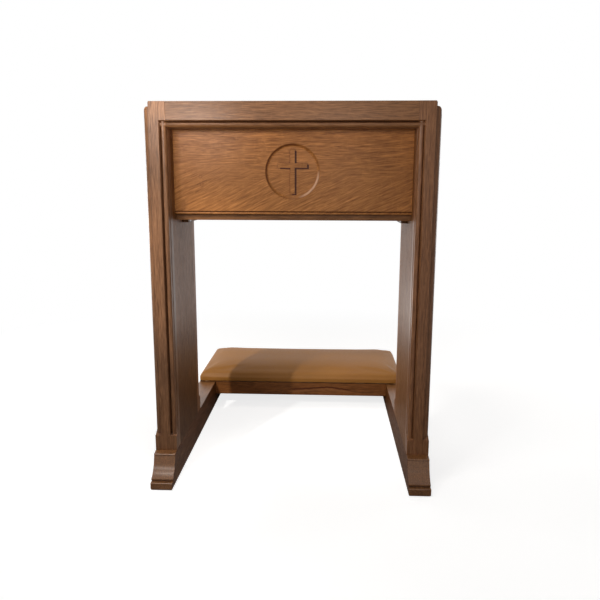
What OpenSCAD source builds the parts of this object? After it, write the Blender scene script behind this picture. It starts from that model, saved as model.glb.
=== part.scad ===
// Prie-dieu: a prayer desk for one person, in oak, with a padded kneeler.
// Millimetres, +Z up, +X to the right of someone who faces the carved panel, +Y towards the kneeler.
// The origin is on the floor, under the middle of the outline.

/* [Overall] */
// Width across the outer faces of the two ends
overall_w = 610; // [560:5:680]
// Height of the front top edge
overall_h = 826; // [790:2:880]
// Slope of the top, which falls towards the kneeler, in degrees
top_slope = 13; // [8:1:17]

/* [Ends] */
// Thickness of an end: of its posts, stiles, rails and runner
end_t = 48; // [44:1:56]
// Depth of an end, from the front of the post to the back of the stile
end_depth = 264; // [250:1:300]
// Depth of the front post
post_d = 36; // [34:1:44]
// Depth of the rear stile
stile_d = 36; // [28:1:44]
// Depth of the end's raking top rail, square to its slope
end_rail_h = 58; // [50:1:70]
// Thickness of the side panel, flush with the inner face
side_panel_t = 20; // [18:1:26]

/* [Mouldings] */
// Width of the moulding round the front opening and on the inner rear edges
inner_mould_w = 14.5; // [12:0.5:18]
// Width of the moulding on the outer upright edges
outer_mould_w = 13.5; // [11:0.5:18]
// Width of the moulding along the outer edge of the top
top_mould_w = 11.25; // [9.25:0.5:15.25]
// Depth of the step down from the face on the outer upright edges
mould_step = 5.5; // [3:0.5:7]
// Depth of the step down from the top
top_step = 8.25; // [5.25:0.5:10.25]
// Depth of the bead's crest below the face round the front opening
inner_step = 4; // [2:0.5:6]
// Width of the sloping side of the quirk round the front opening
inner_quirk = 3; // [2:0.5:5]
// Width of the flat between the step and the bead on the outer upright edges
outer_quirk = 3; // [2:0.5:5]
// Width of the flat between the step and the bead along the top
top_quirk = 1.75; // [0.75:0.5:2.75]
// Rise of the bead above its quirk round the front opening
inner_roll = 4; // [1:0.5:4.5]
// Width of the fillet below the bead
mould_fillet = 1; // [0.5:0.5:2]
// Width of the fillet below the bead of the top's moulding
top_fillet = 1.5; // [0.75:0.5:2.25]
// Depth of the fillet below the bead
mould_lip = 3; // [1:0.5:5]
// Height of the square block left at the foot of the post
block_h = 34; // [20:0.5:60]
// Height over which a moulding runs out above the block
stop_h = 8; // [6:0.5:24]

/* [Runners] */
// Height of a runner
runner_h = 72; // [64:1:94]
// Reach of the toe in front of the post
toe_len = 54; // [46:1:80]
// Height of the upright plinth at the tip of the toe
plinth_h = 18; // [12:0.5:22]
// Setback of the fillet above the plinth
plinth_setback = 8.5; // [5:0.5:12]
// Height and depth of the quirk between the plinth and the fillet
toe_quirk = 2.5; // [1:0.5:3]
// Height of the fillet at the foot of the hollow
toe_fillet = 3.5; // [2:0.5:6]
// Length of the ledge between the post and the hollow
ledge_len = 17; // [12:0.5:24]
// Fall of the ledge from the post to its nose
ledge_drop = 2.5; // [1:0.5:5]
// Radius of the ledge's nose
nose_r = 3.5; // [2:0.5:5]
// Height of the straight cheek under the nose
cheek_h = 15; // [8:1:22]
// Lean of the cheek, and of the top of the hollow below it, from upright, in degrees
cheek_lean = 20; // [8:1:28]
// Rounding of the bottom edges of a runner
runner_round = 5; // [2:0.5:7]
// Setback of the heel behind the pad
heel_inset = 8; // [0:1:30]

/* [Front rail and carved panel] */
// Height of the front top rail
rail_h = 52; // [48:1:70]
// Distance from the front of the posts back to the carved panel
panel_setback = 57; // [48:1:70]
// Thickness of the carved panel
panel_t = 20; // [18:1:26]
// Width of the groove above the panel's bottom bead
bead_groove_w = 2; // [1:0.5:3]
// Height of the panel's bottom bead
bead_h = 5; // [4:0.5:8]
// Depth of the groove
bead_groove_depth = 3; // [1:0.5:4]
// Diameter of the sunk medallion
medallion_d = 118; // [90:1:130]
// Height of the medallion's centre above the panel's bottom edge
medallion_z = 91; // [75:1:100]
// Depth of the medallion
medallion_sink = 4; // [2:0.5:5]
// Width of the medallion's sloping wall
medallion_cove = 6; // [2:0.5:8]
// Height of the cross
cross_h = 94; // [60:1:98]
// Width of the cross
cross_w = 63; // [40:1:80]
// Width of the cross's bars
cross_bar = 10; // [6:0.5:14]
// Distance from the top of the cross to the top of its arm
cross_arm_drop = 29; // [18:1:40]
// Depth of the cross's face below the panel's face
cross_low = 0.5; // [0:0.25:1.5]

/* [Book shelf and book rest] */
// Height of the shelf's upper face above the floor
shelf_top = 596; // [570:1:612]
// Thickness of the shelf
shelf_t = 13; // [10:1:22]
// Setback of the shelf's front edge behind the face of the carved panel
shelf_setback = 11; // [6:1:16]
// Distance of the shelf's rear edge from the moulding on the rear edges of the ends
shelf_back = 2; // [0:1:30]
// Width of a bearer under the shelf
bearer_w = 14; // [10:1:20]
// Height of a bearer
bearer_h = 9; // [8:1:16]
// Distance from the carved panel back to the shelf's bearers
shelf_bearer_lead = 49; // [30:1:60]
// Distance from the carved panel back to the book rest's bearers
rest_bearer_lead = 6; // [2:1:30]
// Distance of a bearer's rear end from the rear edge of what it carries
bearer_back = 8; // [4:1:20]
// Distance of a bearer's screws from its ends
bearer_screw_inset = 22; // [15:1:35]
// Thickness of the book rest
rest_t = 18; // [14:1:24]
// Depth of the book rest below the top edges of the ends
rest_recess = 12; // [6:1:20]
// Bevel of the book rest's upper rear edge, where it meets the ledge
rest_bevel = 1; // [0.5:0.5:3]
// Distance of the book ledge from the moulding on the rear edges of the ends
rest_back = 2; // [0:1:12]
// Thickness of the ledge that stops the book
stop_ledge_t = 14; // [10:1:20]
// Height of that ledge above the book rest
stop_ledge_h = 19; // [12:1:28]
// Rounding of the ledge's upper edges
stop_ledge_r = 4; // [2:0.5:5]

/* [Kneeler] */
// Clear distance from the back of the ends to the front of the pad
kneel_gap = 224; // [190:1:290]
// Depth of the pad, from front to back
pad_d = 290; // [250:1:330]
// Height of the pad's upright side
pad_side_h = 20; // [14:1:32]
// Height of the pad's rounded edge above its side
pad_edge_h = 12; // [8:1:20]
// Width of the pad's rounded edge
pad_edge_w = 18; // [10:1:30]
// Extra height of the pad's crown at its middle
pad_crown = 11; // [3:1:18]
// Width over which the crown rises
pad_crown_w = 87; // [60:1:95]
// Radius in plan of the corners of the pad's side
pad_corner_r = 10; // [6:1:24]
// Radius in plan of the corners at the top of the pad's rounded edge
pad_top_corner_r = 26; // [16:1:34]
// Thickness of the pad's cover
cover_t = 1.5; // [1:0.25:2.5]
// Width of cover turned under the board
tuck_w = 28; // [25:1:40]
// Thickness of the cloth under the board
cloth_t = 0.8; // [0.5:0.1:0.9]
// Gap between that cloth and the turned cover
cloth_gap = 1; // [0.5:0.5:4]
// Thickness of the board under the pad
board_t = 12; // [9:1:15]
// Setback of the front kneeler rail behind the front of the pad
krail_setback = 2; // [0:1:4]
// Thickness of the kneeler rails
krail_t = 22; // [18:1:24]
// Height of the kneeler rails
krail_h = 38; // [30:1:54]
// Setback of the rear kneeler rail from the back of the pad
krail_rear_setback = 16; // [12:1:40]

/* [Joinery] */
// Thickness of the tenons under the posts and stiles
tenon_t = 14; // [10:1:18]
// Length of those tenons
tenon_len = 34; // [20:1:50]
// Shoulder in front of and behind each of them
tenon_shoulder = 6; // [4:1:8]
// Length of a kneeler rail's tenon
krail_tenon_len = 16; // [10:1:24]
// Shoulder all round a kneeler rail's tenon
krail_shoulder = 5; // [3:1:7]
// Thickness of the tongues of the panels
tongue_t = 8; // [6:0.5:10]
// Length of the tongues of the panels
tongue_len = 7; // [4:0.5:8]
// Diameter of the dowels
dowel_d = 8; // [6:0.5:9]
// Length of the dowels
dowel_len = 34; // [24:1:36]
// Distance between the dowels of a pair
dowel_pitch = 18; // [14:1:20]
// Height of the lower dowel above the bottom of the front rail
rail_dowel_up = 15; // [12:1:18]
// Wood left behind the front rail's dowels
rail_dowel_cover = 6; // [4:1:8]
// Height of the lower dowel above the bottom of an end's raking rail
end_dowel_up = 11; // [9:1:14]
// Wood left between an end's dowels and its outer moulding
end_dowel_cover = 2; // [1:0.5:4]
// Diameter of the wood screws
screw_d = 4; // [3:0.5:5]
// Depth of a screw's point in the kneeler board
screw_bite = 8; // [5:0.5:8]
// Depth of a screw's point in the side of an end
side_bite = 11; // [6:0.5:14]
// Distance of the outer kneeler screws from the runners
kneeler_screw_inset = 77; // [40:1:120]
// Leg of the three-cornered glue blocks
glue_block_leg = 18; // [12:1:24]
// Length of a glue block
glue_block_len = 45; // [30:1:80]
// Distance of the outer glue blocks' middles from the ends
glue_block_inset = 103; // [50:1:140]
// Clearance of a tenon, tongue or dowel in its hole, all round
fit_gap = 0.1; // [0.05:0.05:0.3]

/* [Hidden] */
$fn = 48;
// Steps in the curves that are worked out point by point
corner_steps = 8;
bead_steps = 8;
stop_steps = 8;
hollow_steps = 10;
small_arc_steps = 5;
edge_steps = 4;
crown_steps = 3;
medallion_fn = 96;
// Small bevel of a runner's edges, and the step under the ledge's nose
small_ease = 1.5;
nose_step = 1;
// Least radius of a corner in the pad's plan
least_corner = 3;
// Reach of a cut past a face, a hair of it, and a length beyond everything
over = 1;
hair = 0.01;
big = 3000;
// Sag of a quarter circle, as a share of its radius
quarter_sag = 1 - sqrt(0.5);

// Mouldings, each as [width, step, quirk, fillet, roll]
inner_mould = [inner_mould_w, inner_step, inner_quirk, mould_fillet, inner_roll];
outer_mould = [outer_mould_w, mould_step, outer_quirk, mould_fillet, 0];
top_mould = [top_mould_w, top_step, top_quirk, top_fillet, 0];

// Planes across the width
out_x = overall_w / 2;
in_x = out_x - end_t;
mid_x = (in_x + out_x) / 2;

// Planes along the depth, measured from the front of the posts
end_back = end_depth;
stile_front = end_back - stile_d;
pad_front = end_back + kneel_gap;
pad_back = pad_front + pad_d;
heel = pad_back - heel_inset;
panel_back = panel_setback + panel_t;
shelf_front = panel_setback + shelf_setback;
moulding_front = end_back - mould_depth(inner_mould);
shelf_rear = moulding_front - shelf_back;
ledge_lean = stop_ledge_t * cos(top_slope) + stop_ledge_h * sin(top_slope);
rest_rear = moulding_front - rest_back - ledge_lean;
front_krail_y = pad_front + krail_setback;
rear_krail_y = pad_back - krail_rear_setback - krail_t;
front_y = toe_len - (toe_len + pad_back) / 2;

// Heights
block_top = runner_h + block_h;
rail_bottom = overall_h - rail_h;
pad_z = runner_h;
board_z = pad_z + cover_t;
board_top = board_z + board_t;
pad_side_top = pad_z + pad_side_h;
pad_edge_top = pad_side_top + pad_edge_h;
krail_bottom = pad_z - krail_h;

// Joinery
tongue_x = in_x + side_panel_t / 2;
panel_tongue_y = panel_setback + panel_t / 2;
dowel_x = out_x - outer_mould_w - dowel_d / 2 - end_dowel_cover;
rail_dowel_y = post_d - dowel_d / 2 - rail_dowel_cover;
// A countersunk head is a little over two shanks wide
screw_head_r = screw_d * 1.05;
screw_head_h = screw_d * 0.7;
rest_bearer_front = panel_back + rest_bearer_lead;
rest_bearer_rear = rest_rear - bearer_back;
shelf_bearer_front = panel_back + shelf_bearer_lead;
shelf_bearer_rear = shelf_rear - bearer_back;

oak = [0.55, 0.37, 0.24];
oak_panel = [0.66, 0.45, 0.27];
oak_dark = [0.36, 0.22, 0.13];
vinyl = [0.72, 0.53, 0.35];

// ---------------------------------------------------------------- helpers

// Places what is drawn from the front of the posts in the part's frame
module placed() {
    translate([0, front_y, 0]) children();
}

module mirrored_left() {
    mirror([1, 0, 0]) children();
}

// Extrudes a (Y, Z) outline from x0 over the width w
module across(x0, w) {
    translate([x0, 0, 0]) rotate([90, 0, 90]) linear_extrude(w) children();
}

module box(a, b) {
    translate(a) cube(b - a);
}

// The frame of the sloping top: its origin is the middle of the front top edge
module on_top() {
    translate([0, 0, overall_h]) rotate([-top_slope, 0, 0]) children();
}

// Everything at least the given depth below the sloping top
module under_top(depth) {
    on_top() translate([-big / 2, -big / 2, -big - depth]) cube(big);
}

// Distance along the slope of the point that lies at y, at the given depth below the top
function along_top(y, depth) = (y + depth * sin(top_slope)) / cos(top_slope);

function top_z(y) = overall_h - y * tan(top_slope);

// Points of a circular arc from a to b, bulging by sag to the left of its direction
function arc_points(a, b, sag, n) =
    let (
        c = b - a,
        len = norm(c),
        s = abs(sag),
        r = (len * len / 4 + s * s) / (2 * s),
        half = asin(len / 2 / r),
        left = [-c[1], c[0]] / len * sign(sag)
    )
    [for (i = [0 : n])
        let (t = half * (2 * i / n - 1))
        (a + b) / 2 + c / 2 * sin(t) / sin(half) + left * (r * cos(t) - r + s)];

// Points of a quarter circle from a to b, bulging to the left of its direction
function round_arc(a, b) =
    arc_points(a, b, norm(b - a) / sqrt(2) * quarter_sag, small_arc_steps);

function bead_radius(m) = m[0] - m[2] - m[3];

function mould_depth(m) = m[1] + bead_radius(m) + mould_lip;

// Wood cut away from an edge with the moulding m: u runs from the edge along the face, v into
// the wood. A step, a quirk, a bead and a fillet are left. With a roll the quirk is a sloping
// side, and the bead rises from its foot by the roll and falls away as a quarter round.
module mould_cut(m) {
    w = m[0];
    step = m[1];
    roll = m[4];
    bead_u = w - m[2];
    crest = bead_u - roll;
    r = bead_radius(m) - roll;
    rising = [for (i = [0 : small_arc_steps - 1]) let (a = 90 * i / small_arc_steps)
        [crest + roll * cos(a), step + roll * (1 - sin(a))]];
    falling = [for (a = [0 : 90 / bead_steps : 90]) [crest - r * sin(a), step + r * (1 - cos(a))]];
    polygon(concat(
        [[-over, -over], [w, -over], [w, roll > 0 ? 0 : step]],
        roll > 0 ? rising : [],
        falling,
        [[m[3], mould_depth(m)], [-over, mould_depth(m)]]
    ));
}

// How much deeper a hole is than what it holds, when g is the clearance round it
function deeper(g) = g * 10;

// Region above the curved run-out that ends an upright moulding over the block
module above_stop(depth) {
    ramp = [for (t = [0 : 1 / stop_steps : 1]) [depth * t, block_top + stop_h * (1 - cos(180 * t)) / 2]];
    across(0, out_x + over)
        polygon(concat(
            [[-over, block_top]],
            ramp,
            [[depth + over, block_top + stop_h], [depth + over, big], [-over, big]]
        ));
}

// Upright moulding on the right end's front edge, ended over the block
module front_outer_cut() {
    intersection() {
        translate([out_x, 0, 0]) mirror([1, 0, 0]) linear_extrude(big) mould_cut(outer_mould);
        above_stop(mould_depth(outer_mould));
    }
}

// Upright mouldings on the two back edges of the right end
module rear_cuts() {
    translate([0, end_back, 0])
        mirror([0, 1, 0]) {
            front_outer_cut();
            intersection() {
                translate([in_x, 0, 0]) linear_extrude(big) mould_cut(inner_mould);
                above_stop(mould_depth(inner_mould));
            }
        }
}

// Moulding along the outer edge of the sloping top
module top_outer_cut() {
    on_top()
        translate([out_x, -big / 2, 0])
        mirror([1, 0, 0])
        rotate([-90, 0, 0])
        linear_extrude(big)
        mould_cut(top_mould);
}

// Level moulding along the bottom edge of the front rail
module rail_mould_cut() {
    translate([out_x, 0, rail_bottom])
        rotate([0, -90, 0])
        linear_extrude(overall_w)
        mould_cut(inner_mould);
}

// Upright moulding on the post's inner edge, mitred into the rail's moulding at the top
module post_inner_cut() {
    module upright(top) {
        translate([in_x, 0, 0]) linear_extrude(top) mould_cut(inner_mould);
    }
    intersection() {
        upright(rail_bottom);
        above_stop(mould_depth(inner_mould));
    }
    intersection() {
        upright(rail_bottom + inner_mould_w);
        rail_mould_cut();
    }
}

// Tenon under an upright of the right end, between the two given depths; g grows it
module upright_tenon(y0, y1, g) {
    box(
        [mid_x - tenon_t / 2 - g, y0 + tenon_shoulder - g, runner_h - tenon_len - deeper(g)],
        [mid_x + tenon_t / 2 + g, y1 - tenon_shoulder + g, runner_h + over]
    );
}

// Tongue round the side panel of the right end; g grows it
module side_tongue(g) {
    reach = tongue_len + deeper(g);
    intersection() {
        box(
            [tongue_x - tongue_t / 2 - g, post_d - reach, runner_h - reach],
            [tongue_x + tongue_t / 2 + g, stile_front + reach, overall_h]
        );
        under_top(end_rail_h - reach);
    }
}

// Tongues at the ends of the carved panel; g grows them
module carved_tongue(g) {
    reach = in_x + tongue_len + deeper(g);
    intersection() {
        box(
            [-reach, panel_tongue_y - tongue_t / 2 - g, shelf_top - g],
            [reach, panel_tongue_y + tongue_t / 2 + g, overall_h]
        );
        under_top(rest_recess + rest_t - g);
    }
}

// Tenons at the ends of a kneeler rail whose front face is at y; g grows them
module krail_tenons(y, g) {
    reach = in_x + krail_tenon_len + deeper(g);
    shoulder = krail_shoulder - g;
    box(
        [-reach, y + shoulder, krail_bottom + shoulder],
        [reach, y + krail_t - shoulder, pad_z - shoulder]
    );
}

// A dowel along Z with its middle at the origin; g grows it
module dowel(g) {
    cylinder(d = dowel_d + 2 * g, h = dowel_len + 2 * deeper(g), center = true);
}

// Dowels between the front rail and the right post; g grows them
module rail_dowel_pair(g) {
    for (i = [0, 1])
        translate([in_x, rail_dowel_y, rail_bottom + rail_dowel_up + i * dowel_pitch])
            rotate([0, 90, 0])
            dowel(g);
}

// Dowels across the joint at y between the right end's raking rail and an upright
module end_dowel_pair(y, g) {
    low = top_z(y) - end_rail_h / cos(top_slope) + end_dowel_up;
    for (i = [0, 1])
        translate([dowel_x, y, low + i * dowel_pitch]) rotate([-90, 0, 0]) dowel(g);
}

// A countersunk wood screw that points along +Z from the origin; g grows it
module wood_screw(len, g) {
    cylinder(r = screw_d / 2 + g, h = len + g);
    translate([0, 0, -g]) cylinder(r1 = screw_head_r + g, r2 = screw_d / 2 + g, h = screw_head_h);
}

module shelf_screws(g) {
    for (y = [shelf_bearer_front + bearer_screw_inset, shelf_bearer_rear - bearer_screw_inset])
        translate([in_x - bearer_w, y, shelf_top - shelf_t - bearer_h / 2])
            rotate([0, 90, 0])
            wood_screw(bearer_w + side_bite, g);
}

module rest_screws(g) {
    depth = rest_recess + rest_t + bearer_w / 2;
    for (y = [rest_bearer_front + bearer_screw_inset, rest_bearer_rear - bearer_screw_inset])
        on_top()
            translate([in_x - bearer_w, along_top(y, depth), -depth])
            rotate([0, 90, 0])
            wood_screw(bearer_w + side_bite, g);
}

module kneeler_screw_set(g) {
    screw_len = krail_h + cover_t + screw_bite;
    screw_spread = in_x - kneeler_screw_inset;
    for (y = [front_krail_y + krail_t / 2, rear_krail_y + krail_t / 2])
        for (x = [-screw_spread, 0, screw_spread])
            translate([x, y, krail_bottom]) wood_screw(screw_len, g);
}

// ------------------------------------------------------------ the right end

// Outline of the toe, from its tip on the floor up to the foot of the post
function toe_outline() =
    let (
        tip = -toe_len,
        riser = tip + plinth_setback,
        quirk_back = riser + toe_quirk,
        quirk_top = plinth_h + toe_quirk,
        nose = [-ledge_len, runner_h - ledge_drop - nose_r],
        cheek_top = nose + [nose_step, -nose_step],
        cheek_foot = cheek_top - cheek_h * [tan(cheek_lean), 1],
        hollow_foot = [riser, quirk_top + toe_fillet],
        chord = cheek_foot - hollow_foot,
        turn = atan2(chord[0], chord[1]) - cheek_lean
    )
    concat(
        round_arc([tip + runner_round, 0], [tip, runner_round]),
        [[tip, plinth_h - small_ease], [tip + small_ease, plinth_h]],
        [[quirk_back, plinth_h], [quirk_back, quirk_top], [riser, quirk_top]],
        arc_points(hollow_foot, cheek_foot, -norm(chord) / 2 * tan(turn / 2), hollow_steps),
        [cheek_top, nose + [nose_step, 0]],
        round_arc(nose, nose + [nose_r, nose_r]),
        [[0, runner_h]]
    );

function heel_outline() =
    concat(
        [[heel - small_ease, runner_h], [heel, runner_h - small_ease]],
        round_arc([heel, runner_round], [heel - runner_round, 0])
    );

module runner_blank() {
    e = runner_round;
    intersection() {
        across(in_x, end_t) polygon(concat(toe_outline(), heel_outline()));
        rotate([90, 0, 0])
            linear_extrude(big, center = true)
            polygon(concat(
                round_arc([in_x + e, 0], [in_x, e]),
                [[in_x, runner_h], [out_x, runner_h]],
                round_arc([out_x, e], [out_x - e, 0])
            ));
    }
}

module end_runner() {
    difference() {
        runner_blank();
        upright_tenon(0, post_d, fit_gap);
        upright_tenon(stile_front, end_back, fit_gap);
        side_tongue(fit_gap);
        krail_tenons(front_krail_y, fit_gap);
        krail_tenons(rear_krail_y, fit_gap);
    }
}

module end_front_post() {
    difference() {
        intersection() {
            union() {
                box([in_x, 0, runner_h], [out_x, post_d, overall_h]);
                upright_tenon(0, post_d, 0);
            }
            under_top(0);
        }
        top_outer_cut();
        front_outer_cut();
        post_inner_cut();
        side_tongue(fit_gap);
        rail_dowel_pair(fit_gap);
        end_dowel_pair(post_d, fit_gap);
    }
}

module end_rear_stile() {
    difference() {
        intersection() {
            union() {
                box([in_x, stile_front, runner_h], [out_x, end_back, overall_h]);
                upright_tenon(stile_front, end_back, 0);
            }
            under_top(0);
        }
        top_outer_cut();
        rear_cuts();
        side_tongue(fit_gap);
        end_dowel_pair(stile_front, fit_gap);
    }
}

module end_top_rail() {
    difference() {
        intersection() {
            box([in_x, post_d, 0], [out_x, stile_front, overall_h]);
            under_top(0);
        }
        under_top(end_rail_h);
        top_outer_cut();
        side_tongue(fit_gap);
        carved_tongue(fit_gap);
        end_dowel_pair(post_d, fit_gap);
        end_dowel_pair(stile_front, fit_gap);
        rest_screws(fit_gap);
    }
}

module end_side_panel() {
    difference() {
        union() {
            intersection() {
                box([in_x, post_d, runner_h], [in_x + side_panel_t, stile_front, overall_h]);
                under_top(end_rail_h);
            }
            side_tongue(0);
        }
        carved_tongue(fit_gap);
        shelf_screws(fit_gap);
    }
}

// ------------------------------------------------------ between the two ends

module front_rail_body() {
    difference() {
        intersection() {
            box([-in_x, 0, rail_bottom], [in_x, post_d, overall_h]);
            under_top(0);
        }
        rail_mould_cut();
        rail_dowel_pair(fit_gap);
        mirrored_left() rail_dowel_pair(fit_gap);
    }
}

// Plan of the cross, upright, about the middle of the medallion
module cross_outline() {
    translate([-cross_bar / 2, -cross_h / 2]) square([cross_bar, cross_h]);
    translate([-cross_w / 2, cross_h / 2 - cross_arm_drop - cross_bar]) square([cross_w, cross_bar]);
}

// Faces the front of the carved panel: extrudes an (X, Z) outline back from y0 by the depth d
module into_panel(y0, d) {
    translate([0, y0 + d, shelf_top + medallion_z]) rotate([90, 0, 0]) linear_extrude(d) children();
}

module medallion_cut() {
    floor_r = medallion_d / 2 - medallion_cove;
    difference() {
        translate([0, panel_setback, shelf_top + medallion_z])
            rotate([-90, 0, 0])
            cylinder(r1 = medallion_d / 2, r2 = floor_r, h = medallion_sink, $fn = medallion_fn);
        into_panel(panel_setback + cross_low, medallion_sink) cross_outline();
    }
    into_panel(panel_setback - over, over + hair) circle(d = medallion_d, $fn = medallion_fn);
}

module bottom_bead_cut() {
    r = bead_groove_w / 2;
    groove_z = shelf_top + bead_h + r;
    across(-in_x, 2 * in_x) {
        translate([panel_setback - over, groove_z - r])
            square([over + bead_groove_depth - r, bead_groove_w]);
        translate([panel_setback + bead_groove_depth - r, groove_z]) circle(r);
        difference() {
            translate([panel_setback - over, shelf_top - over])
                square([over + bead_h / 2, bead_h + over]);
            translate([panel_setback + bead_h / 2, shelf_top + bead_h / 2]) circle(bead_h / 2);
        }
    }
}

module carved_panel_body() {
    difference() {
        union() {
            intersection() {
                box([-in_x, panel_setback, shelf_top], [in_x, panel_back, overall_h]);
                under_top(rest_recess + rest_t);
            }
            carved_tongue(0);
        }
        medallion_cut();
        bottom_bead_cut();
    }
}

module book_shelf_body() {
    r = shelf_t / 4;
    across(-in_x, 2 * in_x) {
        translate([shelf_front, shelf_top - shelf_t]) square([shelf_rear - r - shelf_front, shelf_t]);
        translate([shelf_rear - 2 * r, shelf_top - shelf_t + r]) square([2 * r, shelf_t - 2 * r]);
        for (z = [shelf_top - r, shelf_top - shelf_t + r]) translate([shelf_rear - r, z]) circle(r);
    }
}

module end_shelf_bearer() {
    z = shelf_top - shelf_t;
    difference() {
        box([in_x - bearer_w, shelf_bearer_front, z - bearer_h], [in_x, shelf_bearer_rear, z]);
        shelf_screws(fit_gap);
    }
}

// A slab that follows the slope, from one depth below the top to another, between two plumb ends
module raking_slab(x0, x1, y0, y1, depth0, depth1) {
    difference() {
        intersection() {
            box([x0, y0, 0], [x1, y1, overall_h + big]);
            under_top(depth0);
        }
        under_top(depth1);
    }
}

// The book rest: plumb at the front rail, and square to its slope where the ledge covers its rear edge
module book_rest_body() {
    underside = rest_recess + rest_t;
    rear = along_top(rest_rear, rest_recess);
    on_top() across(-in_x, 2 * in_x)
        polygon([
            [along_top(post_d, underside), -underside],
            [along_top(post_d, rest_recess), -rest_recess],
            [rear - rest_bevel, -rest_recess],
            [rear, -rest_recess - rest_bevel],
            [rear, -underside]
        ]);
}

module end_rest_bearer() {
    depth = rest_recess + rest_t;
    difference() {
        raking_slab(in_x - bearer_w, in_x, rest_bearer_front, rest_bearer_rear, depth, depth + bearer_w);
        rest_screws(fit_gap);
    }
}

// The ledge that covers the book rest's rear edge and stands above it
module book_ledge_body() {
    r = stop_ledge_r;
    front = along_top(rest_rear, rest_recess);
    low = -rest_recess - rest_t;
    high = stop_ledge_h - rest_recess;
    on_top() across(-in_x, 2 * in_x) {
        translate([front, low]) square([stop_ledge_t, high - low - r]);
        translate([front + r, low]) square([stop_ledge_t - 2 * r, high - low]);
        for (y = [front + r, front + stop_ledge_t - r]) translate([y, high - r]) circle(r);
    }
}

module glue_block_row() {
    row_x = in_x - glue_block_inset;
    for (x = [-row_x, 0, row_x])
        across(x - glue_block_len / 2, glue_block_len)
            polygon([
                [panel_back, shelf_top],
                [panel_back + glue_block_leg, shelf_top],
                [panel_back, shelf_top + glue_block_leg]
            ]);
}

// ---------------------------------------------------------------- the kneeler

module kneeler_rail(y) {
    difference() {
        union() {
            box([-in_x, y, krail_bottom], [in_x, y + krail_t, pad_z]);
            krail_tenons(y, 0);
        }
        kneeler_screw_set(fit_gap);
    }
}

// One ring round the pad at the height z, drawn in by the inset, with corners of the radius r
function pad_ring(inset, z, r) =
    let (
        x = out_x - inset - r,
        y0 = pad_front + inset + r,
        y1 = pad_back - inset - r,
        centres = [[x, y1], [-x, y1], [-x, y0], [x, y0]]
    )
    [for (k = [0 : 3], i = [0 : corner_steps])
        let (a = 90 * (k + i / corner_steps))
        [centres[k][0] + r * cos(a), centres[k][1] + r * sin(a), z]];

// Corner radius of the pad's side, drawn in by the inset
function side_corner(inset) = max(pad_corner_r - inset, least_corner);

module pad_plan(inset) {
    polygon([for (p = pad_ring(inset, 0, side_corner(inset))) [p[0], p[1]]]);
}

// The pad's rounded edge above its side, as [inset, height, corner radius] levels
function edge_levels(skin) =
    [for (i = [0 : edge_steps])
        let (a = 90 * i / edge_steps, t = 1 - cos(a))
        [
            skin + pad_edge_w * t,
            pad_side_top + (pad_edge_h - skin) * sin(a),
            max(pad_corner_r + (pad_top_corner_r - pad_corner_r) * t - skin, least_corner)
        ]];

// The pad's crown within that edge, as such levels
function crown_levels(skin) =
    [for (i = [1 : crown_steps])
        let (t = i / crown_steps)
        [
            skin + pad_edge_w + pad_crown_w * t,
            pad_edge_top - skin + pad_crown * (1 - pow(1 - t, 2)),
            max(pad_top_corner_r - skin - pad_crown_w * t, least_corner)
        ]];

// The pad's form above the height z0, thinner by the skin all round
module pad_form(z0, skin) {
    levels = concat([[skin, z0, side_corner(skin)]], edge_levels(skin), crown_levels(skin));
    m = 4 * (corner_steps + 1);
    top = len(levels) - 1;
    points = [for (level = levels) each pad_ring(level[0], level[1], level[2])];
    sides = [for (k = [0 : top - 1], i = [0 : m - 1])
        let (j = (i + 1) % m, low = k * m, high = low + m)
        each [[low + i, high + i, high + j], [low + i, high + j, low + j]]];
    floor_face = [for (i = [0 : m - 1]) i];
    crown_face = [for (i = [m - 1 : -1 : 0]) top * m + i];
    polyhedron(points, concat([floor_face, crown_face], sides), convexity = 4);
}

module board_blank() {
    translate([0, 0, board_z]) linear_extrude(board_t) pad_plan(cover_t);
}

module kneeler_board_body() {
    difference() {
        board_blank();
        kneeler_screw_set(fit_gap);
    }
}

module kneeler_foam_body() {
    pad_form(board_top, cover_t);
}

module kneeler_cover_body() {
    difference() {
        pad_form(pad_z, 0);
        pad_form(board_z, cover_t);
        translate([0, 0, pad_z - over]) linear_extrude(cover_t + over * 2) pad_plan(tuck_w);
        kneeler_screw_set(fit_gap);
    }
}

module under_cloth_body() {
    translate([0, 0, board_z - cloth_t]) linear_extrude(cloth_t) pad_plan(tuck_w + cloth_gap);
}

// ------------------------------------------------------------------- the nodes

module right_runner() { color(oak_dark) placed() end_runner(); }
module left_runner() { mirrored_left() right_runner(); }
module right_front_post() { color(oak) placed() end_front_post(); }
module left_front_post() { mirrored_left() right_front_post(); }
module right_rear_stile() { color(oak) placed() end_rear_stile(); }
module left_rear_stile() { mirrored_left() right_rear_stile(); }
module right_end_rail() { color(oak) placed() end_top_rail(); }
module left_end_rail() { mirrored_left() right_end_rail(); }
module right_side_panel() { color(oak_dark) placed() end_side_panel(); }
module left_side_panel() { mirrored_left() right_side_panel(); }
module front_rail() { color(oak) placed() front_rail_body(); }
module carved_panel() { color(oak_panel) placed() carved_panel_body(); }
module book_shelf() { color(oak_panel) placed() book_shelf_body(); }
module right_shelf_bearer() { color(oak_dark) placed() end_shelf_bearer(); }
module left_shelf_bearer() { mirrored_left() right_shelf_bearer(); }
module book_rest() { color(oak_panel) placed() book_rest_body(); }
module book_ledge() { color(oak) placed() book_ledge_body(); }
module right_rest_bearer() { color(oak_dark) placed() end_rest_bearer(); }
module left_rest_bearer() { mirrored_left() right_rest_bearer(); }
module kneeler_front_rail() { color(oak_dark) placed() kneeler_rail(front_krail_y); }
module kneeler_rear_rail() { color(oak_dark) placed() kneeler_rail(rear_krail_y); }
module kneeler_board() { color("burlywood") placed() kneeler_board_body(); }
module kneeler_foam() { color("khaki") placed() kneeler_foam_body(); }
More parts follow.
